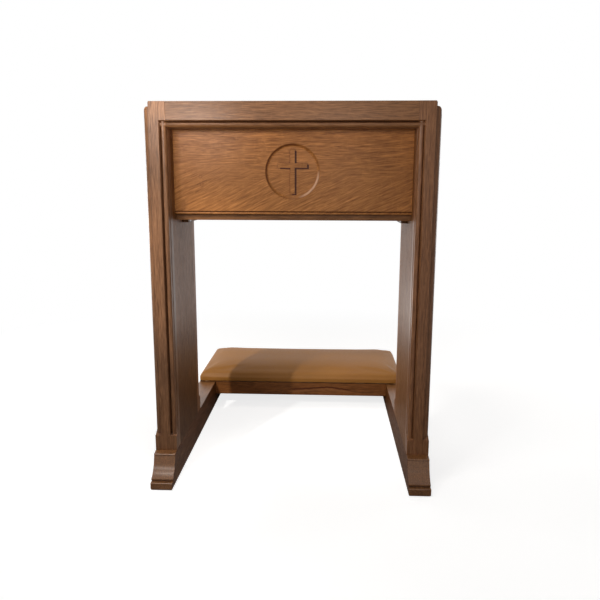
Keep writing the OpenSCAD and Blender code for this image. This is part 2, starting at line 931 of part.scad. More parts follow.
module kneeler_cover() { color(vinyl) placed() kneeler_cover_body(); }
module kneeler_under_cloth() { color("dimgray") placed() under_cloth_body(); }
module glue_blocks() { color("burlywood") placed() glue_block_row(); }

module front_rail_dowels() {
    color("burlywood") placed() {
        rail_dowel_pair(0);
        mirrored_left() rail_dowel_pair(0);
    }
}

module end_rail_dowels() {
    color("burlywood") placed()
        for (side = [0, 1]) mirror([side, 0, 0]) {
            end_dowel_pair(post_d, 0);
            end_dowel_pair(stile_front, 0);
        }
}

module bearer_screws() {
    color("silver") placed()
        for (side = [0, 1]) mirror([side, 0, 0]) {
            shelf_screws(0);
            rest_screws(0);
        }
}

module kneeler_screws() { color("silver") placed() kneeler_screw_set(0); }

left_runner();
right_runner();
left_front_post();
right_front_post();
left_rear_stile();
right_rear_stile();
left_end_rail();
right_end_rail();
left_side_panel();
right_side_panel();
front_rail();
carved_panel();
book_shelf();
left_shelf_bearer();
right_shelf_bearer();
book_rest();
book_ledge();
left_rest_bearer();
right_rest_bearer();
kneeler_front_rail();
kneeler_rear_rail();
kneeler_board();
kneeler_foam();
kneeler_cover();
kneeler_under_cloth();
front_rail_dowels();
end_rail_dowels();
glue_blocks();
bearer_screws();
kneeler_screws();
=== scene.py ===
import bpy
import bmesh
import math
from collections import namedtuple
from mathutils import Matrix, Vector, noise


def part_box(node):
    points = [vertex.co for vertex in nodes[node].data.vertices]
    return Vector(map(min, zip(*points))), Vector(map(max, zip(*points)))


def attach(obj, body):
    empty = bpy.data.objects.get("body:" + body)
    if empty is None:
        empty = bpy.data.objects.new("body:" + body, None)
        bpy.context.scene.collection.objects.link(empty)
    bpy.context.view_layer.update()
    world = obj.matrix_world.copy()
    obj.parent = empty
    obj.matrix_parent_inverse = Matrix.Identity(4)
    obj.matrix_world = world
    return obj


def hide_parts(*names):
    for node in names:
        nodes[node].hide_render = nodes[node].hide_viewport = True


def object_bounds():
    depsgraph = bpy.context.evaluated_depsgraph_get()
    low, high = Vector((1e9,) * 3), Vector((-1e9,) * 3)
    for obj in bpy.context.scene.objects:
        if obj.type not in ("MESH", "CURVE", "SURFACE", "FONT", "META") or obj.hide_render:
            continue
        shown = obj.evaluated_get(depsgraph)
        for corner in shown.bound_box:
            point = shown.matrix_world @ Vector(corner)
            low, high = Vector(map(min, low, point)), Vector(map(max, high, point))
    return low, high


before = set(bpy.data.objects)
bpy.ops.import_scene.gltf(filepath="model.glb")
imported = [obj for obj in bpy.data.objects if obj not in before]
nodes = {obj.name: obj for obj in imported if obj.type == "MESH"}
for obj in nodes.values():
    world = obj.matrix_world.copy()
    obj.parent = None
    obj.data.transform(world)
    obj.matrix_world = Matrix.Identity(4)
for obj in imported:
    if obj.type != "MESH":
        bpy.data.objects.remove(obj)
cad_lo, cad_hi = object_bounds()
scene = bpy.context.scene

MM = 0.001
UP, LEVEL, DEEP = (0, 0, 1), (1, 0, 0), (0, 1, 0)

# ------------------------------ camera
# The camera stands in front of the carved panel, a little right of the middle,
# and looks slightly down. Metres and degrees, in the frame of the CAD model.
FRONT_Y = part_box("left_front_post")[0].y
CAMERA_X = 0.0738
CAMERA_BEFORE_POSTS = 1.2955
CAMERA_Z = 0.6641
CAMERA_YAW = -2.411
CAMERA_PITCH = 10.72
CAMERA_ROLL = 0.172
LENS = 37.18
SENSOR = 36.0


def make_camera():
    yaw = math.radians(CAMERA_YAW)
    pitch = math.radians(CAMERA_PITCH)
    roll = math.radians(CAMERA_ROLL)
    level = Vector((math.sin(yaw), math.cos(yaw), 0))
    right = Vector((math.cos(yaw), -math.sin(yaw), 0))
    ahead = level * math.cos(pitch) - Vector(UP) * math.sin(pitch)
    up = level * math.sin(pitch) + Vector(UP) * math.cos(pitch)
    side = right * math.cos(roll) + up * math.sin(roll)
    top = up * math.cos(roll) - right * math.sin(roll)
    data = bpy.data.cameras.new("camera")
    data.lens = LENS
    data.sensor_width = SENSOR
    camera = bpy.data.objects.new("camera", data)
    scene.collection.objects.link(camera)
    place = Matrix.Identity(4)
    for row in range(3):
        place[row][0] = side[row]
        place[row][1] = top[row]
        place[row][2] = -ahead[row]
    place.translation = Vector((CAMERA_X, FRONT_Y - CAMERA_BEFORE_POSTS, CAMERA_Z))
    camera.matrix_world = place
    scene.camera = camera


# ------------------------------ shader helpers
class Shader:
    """A new material's node tree, with short calls for the nodes that it is built from."""

    def __init__(self, name):
        self.material = bpy.data.materials.new(name)
        self.material.use_nodes = True
        self.tree = self.material.node_tree
        self.surface = self.tree.nodes["Principled BSDF"]

    def node(self, kind, **settings):
        made = self.tree.nodes.new(kind)
        for key, value in settings.items():
            setattr(made, key, value)
        return made

    def feed(self, socket, value):
        """Links a socket to the one given, or sets it to the value given."""
        if isinstance(value, bpy.types.NodeSocket):
            self.tree.links.new(value, socket)
        else:
            socket.default_value = value

    def paint(self, values):
        """Feeds the surface's sockets, each called by its name."""
        for name, value in values.items():
            self.feed(self.surface.inputs[name], value)

    def place(self):
        """The point that is shaded, in the frame of the CAD model."""
        return self.node("ShaderNodeTexCoord").outputs["Object"]

    def facing(self):
        """The way that the surface faces."""
        return self.node("ShaderNodeNewGeometry").outputs["Normal"]

    def apart(self, vector):
        """The X, Y and Z of a vector."""
        made = self.node("ShaderNodeSeparateXYZ")
        self.feed(made.inputs[0], vector)
        return made.outputs["X"], made.outputs["Y"], made.outputs["Z"]

    def math(self, operation, a, b=0.0, clamp=False):
        made = self.node("ShaderNodeMath", operation=operation, use_clamp=clamp)
        self.feed(made.inputs[0], a)
        self.feed(made.inputs[1], b)
        return made.outputs[0]

    def product(self, first, *others):
        for other in others:
            first = self.math("MULTIPLY", first, other)
        return first

    def swing(self, value, size):
        """A noise's value, which lies about a half, turned into a swing about nothing."""
        return self.product(self.math("SUBTRACT", value, 0.5), size)

    def vector(self, operation, a, b=(0, 0, 0)):
        made = self.node("ShaderNodeVectorMath", operation=operation)
        self.feed(made.inputs[0], a)
        self.feed(made.inputs[1], b)
        return made.outputs["Value" if operation in ("LENGTH", "DISTANCE", "DOT_PRODUCT") else 0]

    def scaled(self, vector, x, y, z):
        return self.vector("MULTIPLY", vector, (x, y, z))

    def noise(self, vector, scale=1.0, detail=2.0, roughness=0.5, output="Factor"):
        made = self.node("ShaderNodeTexNoise")
        self.feed(made.inputs["Vector"], vector)
        made.inputs["Scale"].default_value = scale
        made.inputs["Detail"].default_value = detail
        made.inputs["Roughness"].default_value = roughness
        return made.outputs[0 if output == "Factor" else 1]

    def ramp(self, value, stops, smooth=False):
        """A value turned into the number or colour that the stops give, in rising order."""
        made = self.node("ShaderNodeValToRGB")
        if smooth:
            made.color_ramp.interpolation = "EASE"
        elements = made.color_ramp.elements
        for number, (place, shade) in enumerate([stops[0], stops[-1], *stops[1:-1]]):
            if number < len(elements):
                element = elements[number]
                element.position = place
            else:
                element = elements.new(place)
            colour = shade if isinstance(shade, tuple) else (shade, shade, shade)
            element.color = (*colour, 1)
        self.feed(made.inputs[0], value)
        return made.outputs[0]

    def mix(self, share, a, b, blend="MIX"):
        made = self.node("ShaderNodeMix", data_type="RGBA", blend_type=blend)
        self.feed(made.inputs[0], share)
        self.feed(made.inputs[6], a if isinstance(a, bpy.types.NodeSocket) else (*a, 1))
        self.feed(made.inputs[7], b if isinstance(b, bpy.types.NodeSocket) else (*b, 1))
        return made.outputs[2]

    def stained_or_shaded(self, colour, overlay):
        """A colour with another laid over it by multiplying: a clear stain, or painted shade."""
        return self.mix(1.0, colour, overlay, blend="MULTIPLY")

    def recess(self, distance):
        """1 in the open, towards 0 in a quirk or corner narrower than the distance."""
        made = self.node("ShaderNodeAmbientOcclusion", samples=6, only_local=True)
        made.inputs["Distance"].default_value = distance
        return made.outputs["AO"]

    def bump(self, height, strength, distance):
        made = self.node("ShaderNodeBump")
        made.inputs["Strength"].default_value = strength
        made.inputs["Distance"].default_value = distance
        self.feed(made.inputs["Height"], height)
        self.feed(self.surface.inputs["Normal"], made.outputs[0])

    def shader(self, kind, first, second, share=None):
        """Two shaders added or mixed."""
        made = self.node(kind)
        sockets = [first, second] if share is None else [share, first, second]
        for socket, value in zip(made.inputs, sockets):
            self.feed(socket, value)
        return made.outputs[0]


def linear(red, green, blue):
    """A colour given in sRGB, 0 to 255, as a shader takes it."""

    def one(value):
        value /= 255
        return value / 12.92 if value <= 0.04045 else ((value + 0.055) / 1.055) ** 2.4

    return one(red), one(green), one(blue)


def tinted(colour, tint):
    return tuple(part * share for part, share in zip(colour, tint))


# ------------------------------ the figure of oak
# Noise drawn out along the grain: how often it changes in a metre along and across it.
Grain = namedtuple("Grain", "along across detail roughness", defaults=(2.0, 0.5))
WANDER = Grain(3, 11, 3.0)
WAVER = Grain(11, 34, 1.0)
RING_DRIFT = Grain(2, 25)
RING_SEEN = Grain(5, 21)
BLOTCH = Grain(6, 15, 3.0, 0.55)
STREAK = Grain(10, 250, 4.0, 0.62)
DASH = Grain(30, 440, 2.0, 0.6)
FIBRE = Grain(60, 1300, 1.0)
PORE = Grain(42, 900, 1.0)

# How far the grain strays sideways, in metres, and how far the rings drift, in rings.
WANDER_REACH, WAVER_REACH = 0.024, 0.008
RING_DRIFT_REACH = 5.0
KNOT_SWIRL = 1.6

# How much each of them lightens or darkens the wood.
RING_WEIGHT = 0.42
STREAK_WEIGHT, DASH_WEIGHT, FIBRE_WEIGHT, BLOTCH_WEIGHT = 0.55, 1.35, 0.35, 0.45

# Over one growth ring, from early to late wood: how light the wood is, and how open its pores are.
RING_LIGHT = [(0.0, 0.35), (0.10, 0.18), (0.40, 0.60), (0.80, 0.80), (1.0, 0.35)]
RING_PORES = [(0.0, 0.7), (0.14, 1.0), (0.45, 0.45), (1.0, 0.5)]
PORE_EDGE = [(0.54, 0.0), (0.66, 1.0)]

# What each piece's seed adds to the place in the noise, so that no two pieces are alike.
SEED_STEP = (1.37, 0.61, 0.83)
CROSS_SEED = 0.37

# Tints of the wood's tone, from its darkest streaks to its lightest.
WOOD_TINTS = [
    (0.0, (0.40, 0.35, 0.30)),
    (0.30, (0.76, 0.73, 0.70)),
    (0.50, (1, 1, 1)),
    (0.70, (1.27, 1.29, 1.32)),
    (1.0, (1.75, 1.84, 1.95)),
]
FLECK_TINT, FLECK_SHARE = (1.6, 1.65, 1.7), 0.16
PORE_TINT, PORE_SHARE = (0.40, 0.32, 0.24), 0.50
KNOT_TINT = (0.42, 0.34, 0.27)
KNOT_HEART = [(0.0, 0.10), (0.32, 0.0), (0.52, 0.62), (0.74, 0.05), (1.0, 0.0)]
FLECKS_PER_METRE = (150, 150, 60)
FLECK_EDGE = [(0.60, 0.0), (0.72, 1.0)]
# The tint laid in hollows: partly real dark glaze, partly painted shade.
GLAZE_AND_SHADE_TINT = (0.26, 0.18, 0.13)

# The dark glaze in hollows, partly real glaze and partly painted shade: the width of a hollow in
# millimetres, and how shut in a point is where it is full and where it ends.
LIGHT_GLAZE_AND_SHADE = (3, 0.25, 0.80)
PANEL_GLAZE_AND_SHADE = (5, 0.35, 0.90)
MOULDING_GLAZE_AND_SHADE = (9, 0.40, 0.92)
NARROW_GLAZE_AND_SHADE = (4, 0.10, 0.55)

# The lacquer, and what the wood's figure adds to its roughness and its relief.
LACQUER_IOR = 1.22
COAT_ROUGHNESS = 0.30
LIGHT_WOOD_ROUGHNESS, PORE_ROUGHNESS = -0.12, 0.15
FIBRE_HEIGHT = 0.6
GRAIN_BUMP, GRAIN_DEPTH = 0.5, 0.3 * MM


def grain_turn(axis):
    """The rotation that lays the grain's direction along a texture's X."""
    along = Vector(axis).normalized()
    helper = Vector(UP) if abs(along.z) < 0.9 else Vector(DEEP)
    across = helper.cross(along).normalized()
    return Matrix((along, across, along.cross(across))).to_euler()


def grain_noise(sh, vector, grain, output="Factor"):
    stretched = sh.scaled(vector, grain.along, grain.across, grain.across)
    return sh.noise(stretched, detail=grain.detail, roughness=grain.roughness, output=output)


def grain_sway(sh, vector, grain, reach):
    """A sideways shift of the grain, by up to about half the reach each way."""
    swing = sh.vector("SUBTRACT", grain_noise(sh, vector, grain, "Color"), (0.5, 0.5, 0.5))
    return sh.scaled(swing, 0, reach, reach)


def knot_reach(sh, place, knot):
    """A point's distance from a knot, in the knot's radii."""
    point, radius = knot
    return sh.math("DIVIDE", sh.vector("DISTANCE", place, point), radius)


def ring_place(sh, place, local, shifted, wander, pith, spacing, knots):
    """How far through its growth ring a point lies, from 0 to 1."""
    bent = sh.vector("ADD", local, wander)
    from_pith = sh.vector("ADD", sh.scaled(bent, 0, 1, 1), (0, *pith))
    ring = sh.math("DIVIDE", sh.vector("LENGTH", from_pith), spacing * MM)
    ring = sh.math("ADD", ring, sh.product(grain_noise(sh, shifted, RING_DRIFT), RING_DRIFT_REACH))
    for knot in knots:
        reach = knot_reach(sh, place, knot)
        swirl = sh.math("POWER", 2.0, sh.product(reach, reach, -1.0))
        ring = sh.math("ADD", ring, sh.product(swirl, KNOT_SWIRL))
    return sh.math("FRACT", ring)


def wood_figure(sh, place, axis, seed, pith, spacing, figure, knots):
    """The figure of solid oak whose grain runs along the axis: how light the wood is at a point,
    with its open pores and its fine fibres."""
    turn = sh.node("ShaderNodeMapping")
    sh.feed(turn.inputs["Vector"], place)
    turn.inputs["Rotation"].default_value = grain_turn(axis)
    local = turn.outputs[0]
    shifted = sh.vector("ADD", local, tuple(seed * step for step in SEED_STEP))
    wander = grain_sway(sh, shifted, WANDER, WANDER_REACH * figure)
    waver = grain_sway(sh, shifted, WAVER, WAVER_REACH * figure)
    warped = sh.vector("ADD", sh.vector("ADD", shifted, wander), waver)

    ring = ring_place(sh, place, local, shifted, wander, pith, spacing, knots)
    fibre = grain_noise(sh, warped, FIBRE)
    pores = sh.ramp(grain_noise(sh, warped, PORE), PORE_EDGE)
    pores = sh.product(pores, sh.ramp(ring, RING_PORES))

    seen = sh.product(grain_noise(sh, shifted, RING_SEEN), RING_WEIGHT * figure)
    value = sh.swing(sh.ramp(ring, RING_LIGHT), seen)
    for part, weight in (
            (grain_noise(sh, warped, STREAK), STREAK_WEIGHT),
            (grain_noise(sh, warped, DASH), DASH_WEIGHT),
            (fibre, FIBRE_WEIGHT),
            (grain_noise(sh, shifted, BLOTCH), BLOTCH_WEIGHT)):
        value = sh.math("ADD", value, sh.swing(part, weight))
    return sh.math("ADD", value, 0.5), pores, fibre


def wood_colour(sh, place, tone, seed, value, pores, knots, glaze_and_shade):
    """The colour of stained oak: its tone by how light the wood is, with its flecks, pores and knots,
    and with dark glaze in its hollows, which is partly real glaze and partly painted shade."""
    colour = sh.ramp(value, [(stop, tinted(tone, tint)) for stop, tint in WOOD_TINTS])
    flecks = sh.noise(sh.vector("ADD", sh.scaled(place, *FLECKS_PER_METRE), (seed, 0, 0)), detail=1.0)
    flecks = sh.ramp(flecks, FLECK_EDGE)
    colour = sh.mix(sh.product(flecks, FLECK_SHARE), colour, tinted(tone, FLECK_TINT))
    colour = sh.mix(sh.product(pores, PORE_SHARE), colour, tinted(tone, PORE_TINT))
    for knot in knots:
        heart = sh.ramp(knot_reach(sh, place, knot), KNOT_HEART)
        colour = sh.mix(heart, colour, tinted(tone, KNOT_TINT))
    # Painted shade in hollows, together with real glaze.
    width, full, ends = glaze_and_shade
    open_air = sh.ramp(sh.recess(width * MM), [(full, 0.0), (ends, 1.0)])
    return sh.mix(open_air, sh.stained_or_shaded(colour, GLAZE_AND_SHADE_TINT), colour)


def oak(name, tone, axis, seed, pith=(0.09, -0.07), spacing=4.6, figure=1.0, cross=None, knots=(),
        rough=0.48, coat=0.12, glaze_and_shade=LIGHT_GLAZE_AND_SHADE, marks=None):
    """Stained and lacquered oak, as solid wood. Pith is where the rings' middle lies across the
    grain, in metres, and spacing is a ring's width in millimetres. Where cross gives a second
    direction of grain and its share at a point, the figure turns to it there. Marks changes the
    finished colour: with a real check on one piece, and with painted light and shade on others."""
    sh = Shader(name)
    place = sh.place()
    value, pores, fibre = wood_figure(sh, place, axis, seed, pith, spacing, figure, knots)
    if cross:
        other, share_of = cross
        share = share_of(sh, place)
        turned = wood_figure(sh, place, other, seed + CROSS_SEED, pith, spacing, figure, ())
        value = sh.mix(share, value, turned[0])
        pores = sh.mix(share, pores, turned[1])
    colour = wood_colour(sh, place, tone, seed, value, pores, knots, glaze_and_shade)
    sh.paint({"IOR": LACQUER_IOR, "Coat Weight": coat, "Coat Roughness": COAT_ROUGHNESS})
    if marks:
        colour = marks(sh, place, colour)
    dull = sh.math("ADD", sh.product(value, LIGHT_WOOD_ROUGHNESS), rough)
    dull = sh.math("ADD", dull, sh.product(pores, PORE_ROUGHNESS))
    sh.paint({"Base Color": colour, "Roughness": dull})
    sh.bump(sh.math("SUBTRACT", sh.product(fibre, FIBRE_HEIGHT), pores), GRAIN_BUMP, GRAIN_DEPTH)
    return sh.material


# ------------------------------ marks on the wood, and painted light and shade
PANEL_LO, PANEL_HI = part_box("carved_panel")
# The share of the panel's height, from its top, over which the grain turns from level to swept up.
LOW_ON_PANEL = [(0.42, 0.0), (0.68, 1.0)]
TURN_DRIFT, DRIFTS_PER_METRE = 0.8, 11
# The medallion's middle above the panel's foot, and how deep behind the face its painted light reaches.
MEDALLION_Z = 91 * MM
CARVED_DEPTH = 6 * MM
# The cross about that middle: half its width and height, half a bar's width, and its arm's height.
CROSS_HALF_W, CROSS_HALF_H = 31.5 * MM, 47 * MM
CROSS_HALF_BAR = 5 * MM
CROSS_ARM_UP = 13 * MM
# The dark colour of the real check in the kneeler's rail, which also paints the shade in the medallion's
# wall and the shadow beside the cross. The painted shadow is shifted to the right of the cross and below
# it.
DARK_STAIN_AND_SHADE = linear(70, 26, 5)
SHADOW_EDGE_SOFT = 0.8 * MM
SHADOW_ASIDE, SHADOW_BELOW = 4.0 * MM, 3.2 * MM
BESIDE_SHARE, WALL_SHARE = 0.92, 0.80
# The medallion's wall from its least to its greatest radius, with the softness of the edges, the
# way from the middle in which each mark is strongest, and how it fades away from there: painted
# shade on the upper left, and a painted highlight in a pale colour on the lower right.
WALL_SHADED, SHADED_WAY = (54.0 * MM, 59.6 * MM, 2.2 * MM), (-0.85, 0, 0.53)
SHADED_ARC = [(0.0, 0.35), (0.75, 1.0)]
WALL_HIGHLIT, HIGHLIGHT_WAY = (52.5 * MM, 58.5 * MM, 2.0 * MM), (0.80, 0, -0.60)
HIGHLIGHT_ARC = [(0.72, 0.0), (0.97, 1.0)]
HIGHLIGHT_PALE, HIGHLIGHT_SHARE = linear(226, 182, 150), 0.75
# Painted shade: the panel's tone by its height, darker towards its foot.
PANEL_SHADE = [(0.0, (0.86, 0.90, 0.98)), (0.5, (0.93, 0.95, 0.98)), (1.0, (1.0, 1.0, 1.0))]

# The check in the kneeler's rail: its ends, its height along them as a share of a tenth of a metre,
# its wavering, and the heights about it of its dark line and of the paler wood below.
CHECK_START, CHECK_END, CHECK_FADE = -34 * MM, 156 * MM, 14 * MM
CHECK_RISE = [(0.0, 0.512), (0.25, 0.545), (0.48, 0.580), (0.60, 0.604), (0.81, 0.560), (1.0, 0.505)]
CHECK_RISE_UNIT = 100 * MM
CHECK_SWAY, SWAYS_PER_METRE = 5 * MM, 90
CHECK_LINE, CHECK_LINE_SHARE = (-3.0 * MM, 2.4 * MM, 1.4 * MM), 0.90
CHECK_BELOW, CHECK_BELOW_SHARE = (-11 * MM, -2.4 * MM, 3 * MM), 0.30
CHECK_PALE = linear(168, 116, 74)

# Painted light by height. The left post's, as a share of twice the tone: a painted highlight at its
# top and painted shade lower down. The left panel's painted shade, by metres, darker towards its foot.
POST_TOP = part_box("left_front_post")[1].z
POST_PAINTED_LIGHT_UNIT = 2.0
POST_PAINTED_LIGHT = [
    (0.0, 0.42), (0.18, 0.43), (0.40, 0.42), (0.59, 0.365),
    (0.70, 0.36), (0.80, 0.45), (0.90, 0.58), (1.0, 0.92)]
BOARD_SHADE = [(0.10, (0.42, 0.36, 0.18)), (0.24, (0.66, 0.62, 0.45)), (0.36, (1, 1, 1))]
FACES_UP = 0.7
# The runners by how far sideways a face looks: shiny in front and on top, with painted shade at the
# sides.
FOOT_SHINE = [(0.3, 0.7), (0.7, 0.0)]
FOOT_SHADED_SIDES = [(0.6, 0.0), (0.9, 1.0)]
FOOT_SIDE_SHADE = (0.48, 0.38, 0.22)


def low_on_panel(sh, place):
    """How far a point of the carved panel is into its lower part, where the grain sweeps up to
    the right."""
    from_top = sh.math("SUBTRACT", PANEL_HI.z, sh.apart(place)[2])
    share = sh.math("DIVIDE", from_top, PANEL_HI.z - PANEL_LO.z)
    drift = sh.swing(sh.noise(place, scale=DRIFTS_PER_METRE), TURN_DRIFT)
    return sh.ramp(sh.math("ADD", share, drift), LOW_ON_PANEL, smooth=True)


def within(sh, value, low, high, soft):
    """1 where a value lies between two limits, with soft edges."""
    rising = sh.math("DIVIDE", sh.math("SUBTRACT", value, low), soft, clamp=True)
    falling = sh.math("DIVIDE", sh.math("SUBTRACT", high, value), soft, clamp=True)
    return sh.math("MINIMUM", rising, falling)


def in_bar(sh, x, z, half_w, low, high):
    """1 inside an upright rectangle about the medallion's middle."""
    across = within(sh, x, -half_w, half_w, SHADOW_EDGE_SOFT)
    return sh.math("MINIMUM", across, within(sh, z, low, high, SHADOW_EDGE_SOFT))


def in_cross(sh, x, z):
    """1 inside the medallion's cross, from a point's place about the medallion's middle."""
    upright = in_bar(sh, x, z, CROSS_HALF_BAR, -CROSS_HALF_H, CROSS_HALF_H)
    level = in_bar(sh, x, z, CROSS_HALF_W, CROSS_ARM_UP - CROSS_HALF_BAR, CROSS_ARM_UP + CROSS_HALF_BAR)
    return sh.math("MAXIMUM", upright, level)


def carving_painted_light(sh, place, colour):
    """Painted shade in the medallion's wall, a painted shadow beside the cross, and a painted highlight
    on the wall's lower edge. The panel is a little darker towards its foot, as painted shade."""
    middle = Vector((0, 0, PANEL_LO.z + MEDALLION_Z))
    x, y, z = sh.apart(sh.vector("SUBTRACT", place, middle))
    front = sh.math("LESS_THAN", y, PANEL_LO.y + CARVED_DEPTH)
    flat = sh.node("ShaderNodeCombineXYZ")
    sh.feed(flat.inputs["X"], x)
    sh.feed(flat.inputs["Z"], z)
    radius = sh.vector("LENGTH", flat.outputs[0])
    outward = sh.vector("NORMALIZE", flat.outputs[0])
    upper = sh.ramp(sh.vector("DOT_PRODUCT", outward, SHADED_WAY), SHADED_ARC, smooth=True)
    lower = sh.ramp(sh.vector("DOT_PRODUCT", outward, HIGHLIGHT_WAY), HIGHLIGHT_ARC, smooth=True)

    height = sh.math("ADD", sh.math("DIVIDE", z, 2 * MEDALLION_Z), 0.5)
    # Painted shade, darker towards the panel's foot.
    colour = sh.stained_or_shaded(colour, sh.ramp(height, PANEL_SHADE))
    # Painted shade in the upper left of the medallion's wall.
    wall = sh.product(within(sh, radius, *WALL_SHADED), front, upper, WALL_SHARE)
    colour = sh.mix(wall, colour, DARK_STAIN_AND_SHADE)
    # A painted shadow to the right of the cross and below it.
    beside = in_cross(sh, sh.math("SUBTRACT", x, SHADOW_ASIDE), sh.math("ADD", z, SHADOW_BELOW))
    off_cross = sh.math("SUBTRACT", 1.0, in_cross(sh, x, z))
    colour = sh.mix(sh.product(beside, off_cross, front, BESIDE_SHARE), colour, DARK_STAIN_AND_SHADE)
    # A painted highlight on the lower right of the medallion's wall.
    highlight = sh.product(within(sh, radius, *WALL_HIGHLIT), sh.product(lower, front), HIGHLIGHT_SHARE)
    return sh.mix(highlight, colour, HIGHLIGHT_PALE)


def rail_marks(sh, place, colour):
    """A dark wavering check along the grain of the kneeler's front rail, with paler wood below it."""
    x, _, z = sh.apart(place)
    share = sh.math("DIVIDE", sh.math("SUBTRACT", x, CHECK_START), CHECK_END - CHECK_START)
    rise = sh.product(sh.ramp(share, CHECK_RISE), CHECK_RISE_UNIT)
    sway = sh.swing(sh.noise(sh.scaled(place, SWAYS_PER_METRE, 0, 0)), CHECK_SWAY)
    along = within(sh, x, CHECK_START, CHECK_END, CHECK_FADE)
    level = sh.math("SUBTRACT", sh.math("SUBTRACT", z, sway), rise)
    below = sh.product(within(sh, level, *CHECK_BELOW), along, CHECK_BELOW_SHARE)
    line = sh.product(within(sh, level, *CHECK_LINE), along, CHECK_LINE_SHARE)
    return sh.mix(line, sh.mix(below, colour, CHECK_PALE), DARK_STAIN_AND_SHADE)


def post_painted_light(sh, place, colour):
    """Painted light on the left post: a painted highlight at its top corner, and painted shade from there
    down to its foot. Faces that look up keep their tone."""
    painted_gain = sh.ramp(sh.math("DIVIDE", sh.apart(place)[2], POST_TOP), POST_PAINTED_LIGHT, smooth=True)
    # The painted highlight and painted shade, laid over the colour.
    changed = sh.stained_or_shaded(colour, sh.product(painted_gain, POST_PAINTED_LIGHT_UNIT))
    upward = sh.math("GREATER_THAN", sh.apart(sh.facing())[2], FACES_UP)
    return sh.mix(upward, changed, colour)


def board_painted_shade(sh, place, colour):
    """Painted shade on the left side panel, which gets deeper towards its foot."""
    return sh.stained_or_shaded(colour, sh.ramp(sh.apart(place)[2], BOARD_SHADE))


def foot_shade_and_shine(sh, place, colour):
    """The runners' sides get painted shade, and their fronts and tops carry more coat and shine."""
    sideways = sh.math("ABSOLUTE", sh.apart(sh.facing())[0])
    sh.paint({"Coat Weight": sh.ramp(sideways, FOOT_SHINE)})
    # Painted shade on the faces that look sideways.
    return sh.mix(sh.ramp(sideways, FOOT_SHADED_SIDES), colour, sh.stained_or_shaded(colour, FOOT_SIDE_SHADE))


# ------------------------------ the wooden pieces
POST = linear(132, 89, 58)
# The left post's tone, set a little darker than the other posts' as painted shade.
POST_LEFT_SHADED = linear(126, 87, 58)
RAIL = linear(136, 92, 57)
CARVED = linear(168, 107, 53)
BOARDS = linear(115, 75, 41)
FOOT = linear(116, 76, 42)
STRETCHER = linear(124, 76, 38)
BEECH = linear(188, 150, 112)
# The coat left on the posts and their rail, and how rough bare wood is.
POLISH, BARE = 0.3, 0.66
NEARLY_LEVEL, SWEPT_UP = (1, 0, 0.03), (1, 0, 0.46)

PANEL_FACE_Y = FRONT_Y + 0.057
PANEL_KNOTS = [((-0.199, PANEL_FACE_Y, 0.6765), 6 * MM), ((-0.1965, PANEL_FACE_Y, 0.6595), 6 * MM)]
POST_KNOT_INWARD, POST_KNOT_UP = 0.034, 0.074

WELDED = 0.02 * MM
EASED, EASED_FROM = 0.5 * MM, math.radians(32)


def top_slope():
    """The fall of the ends' top edges, as a direction from front to back."""
    front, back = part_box("left_front_post"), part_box("left_rear_stile")
    return 0, back[0].y - front[0].y, back[1].z - front[1].z


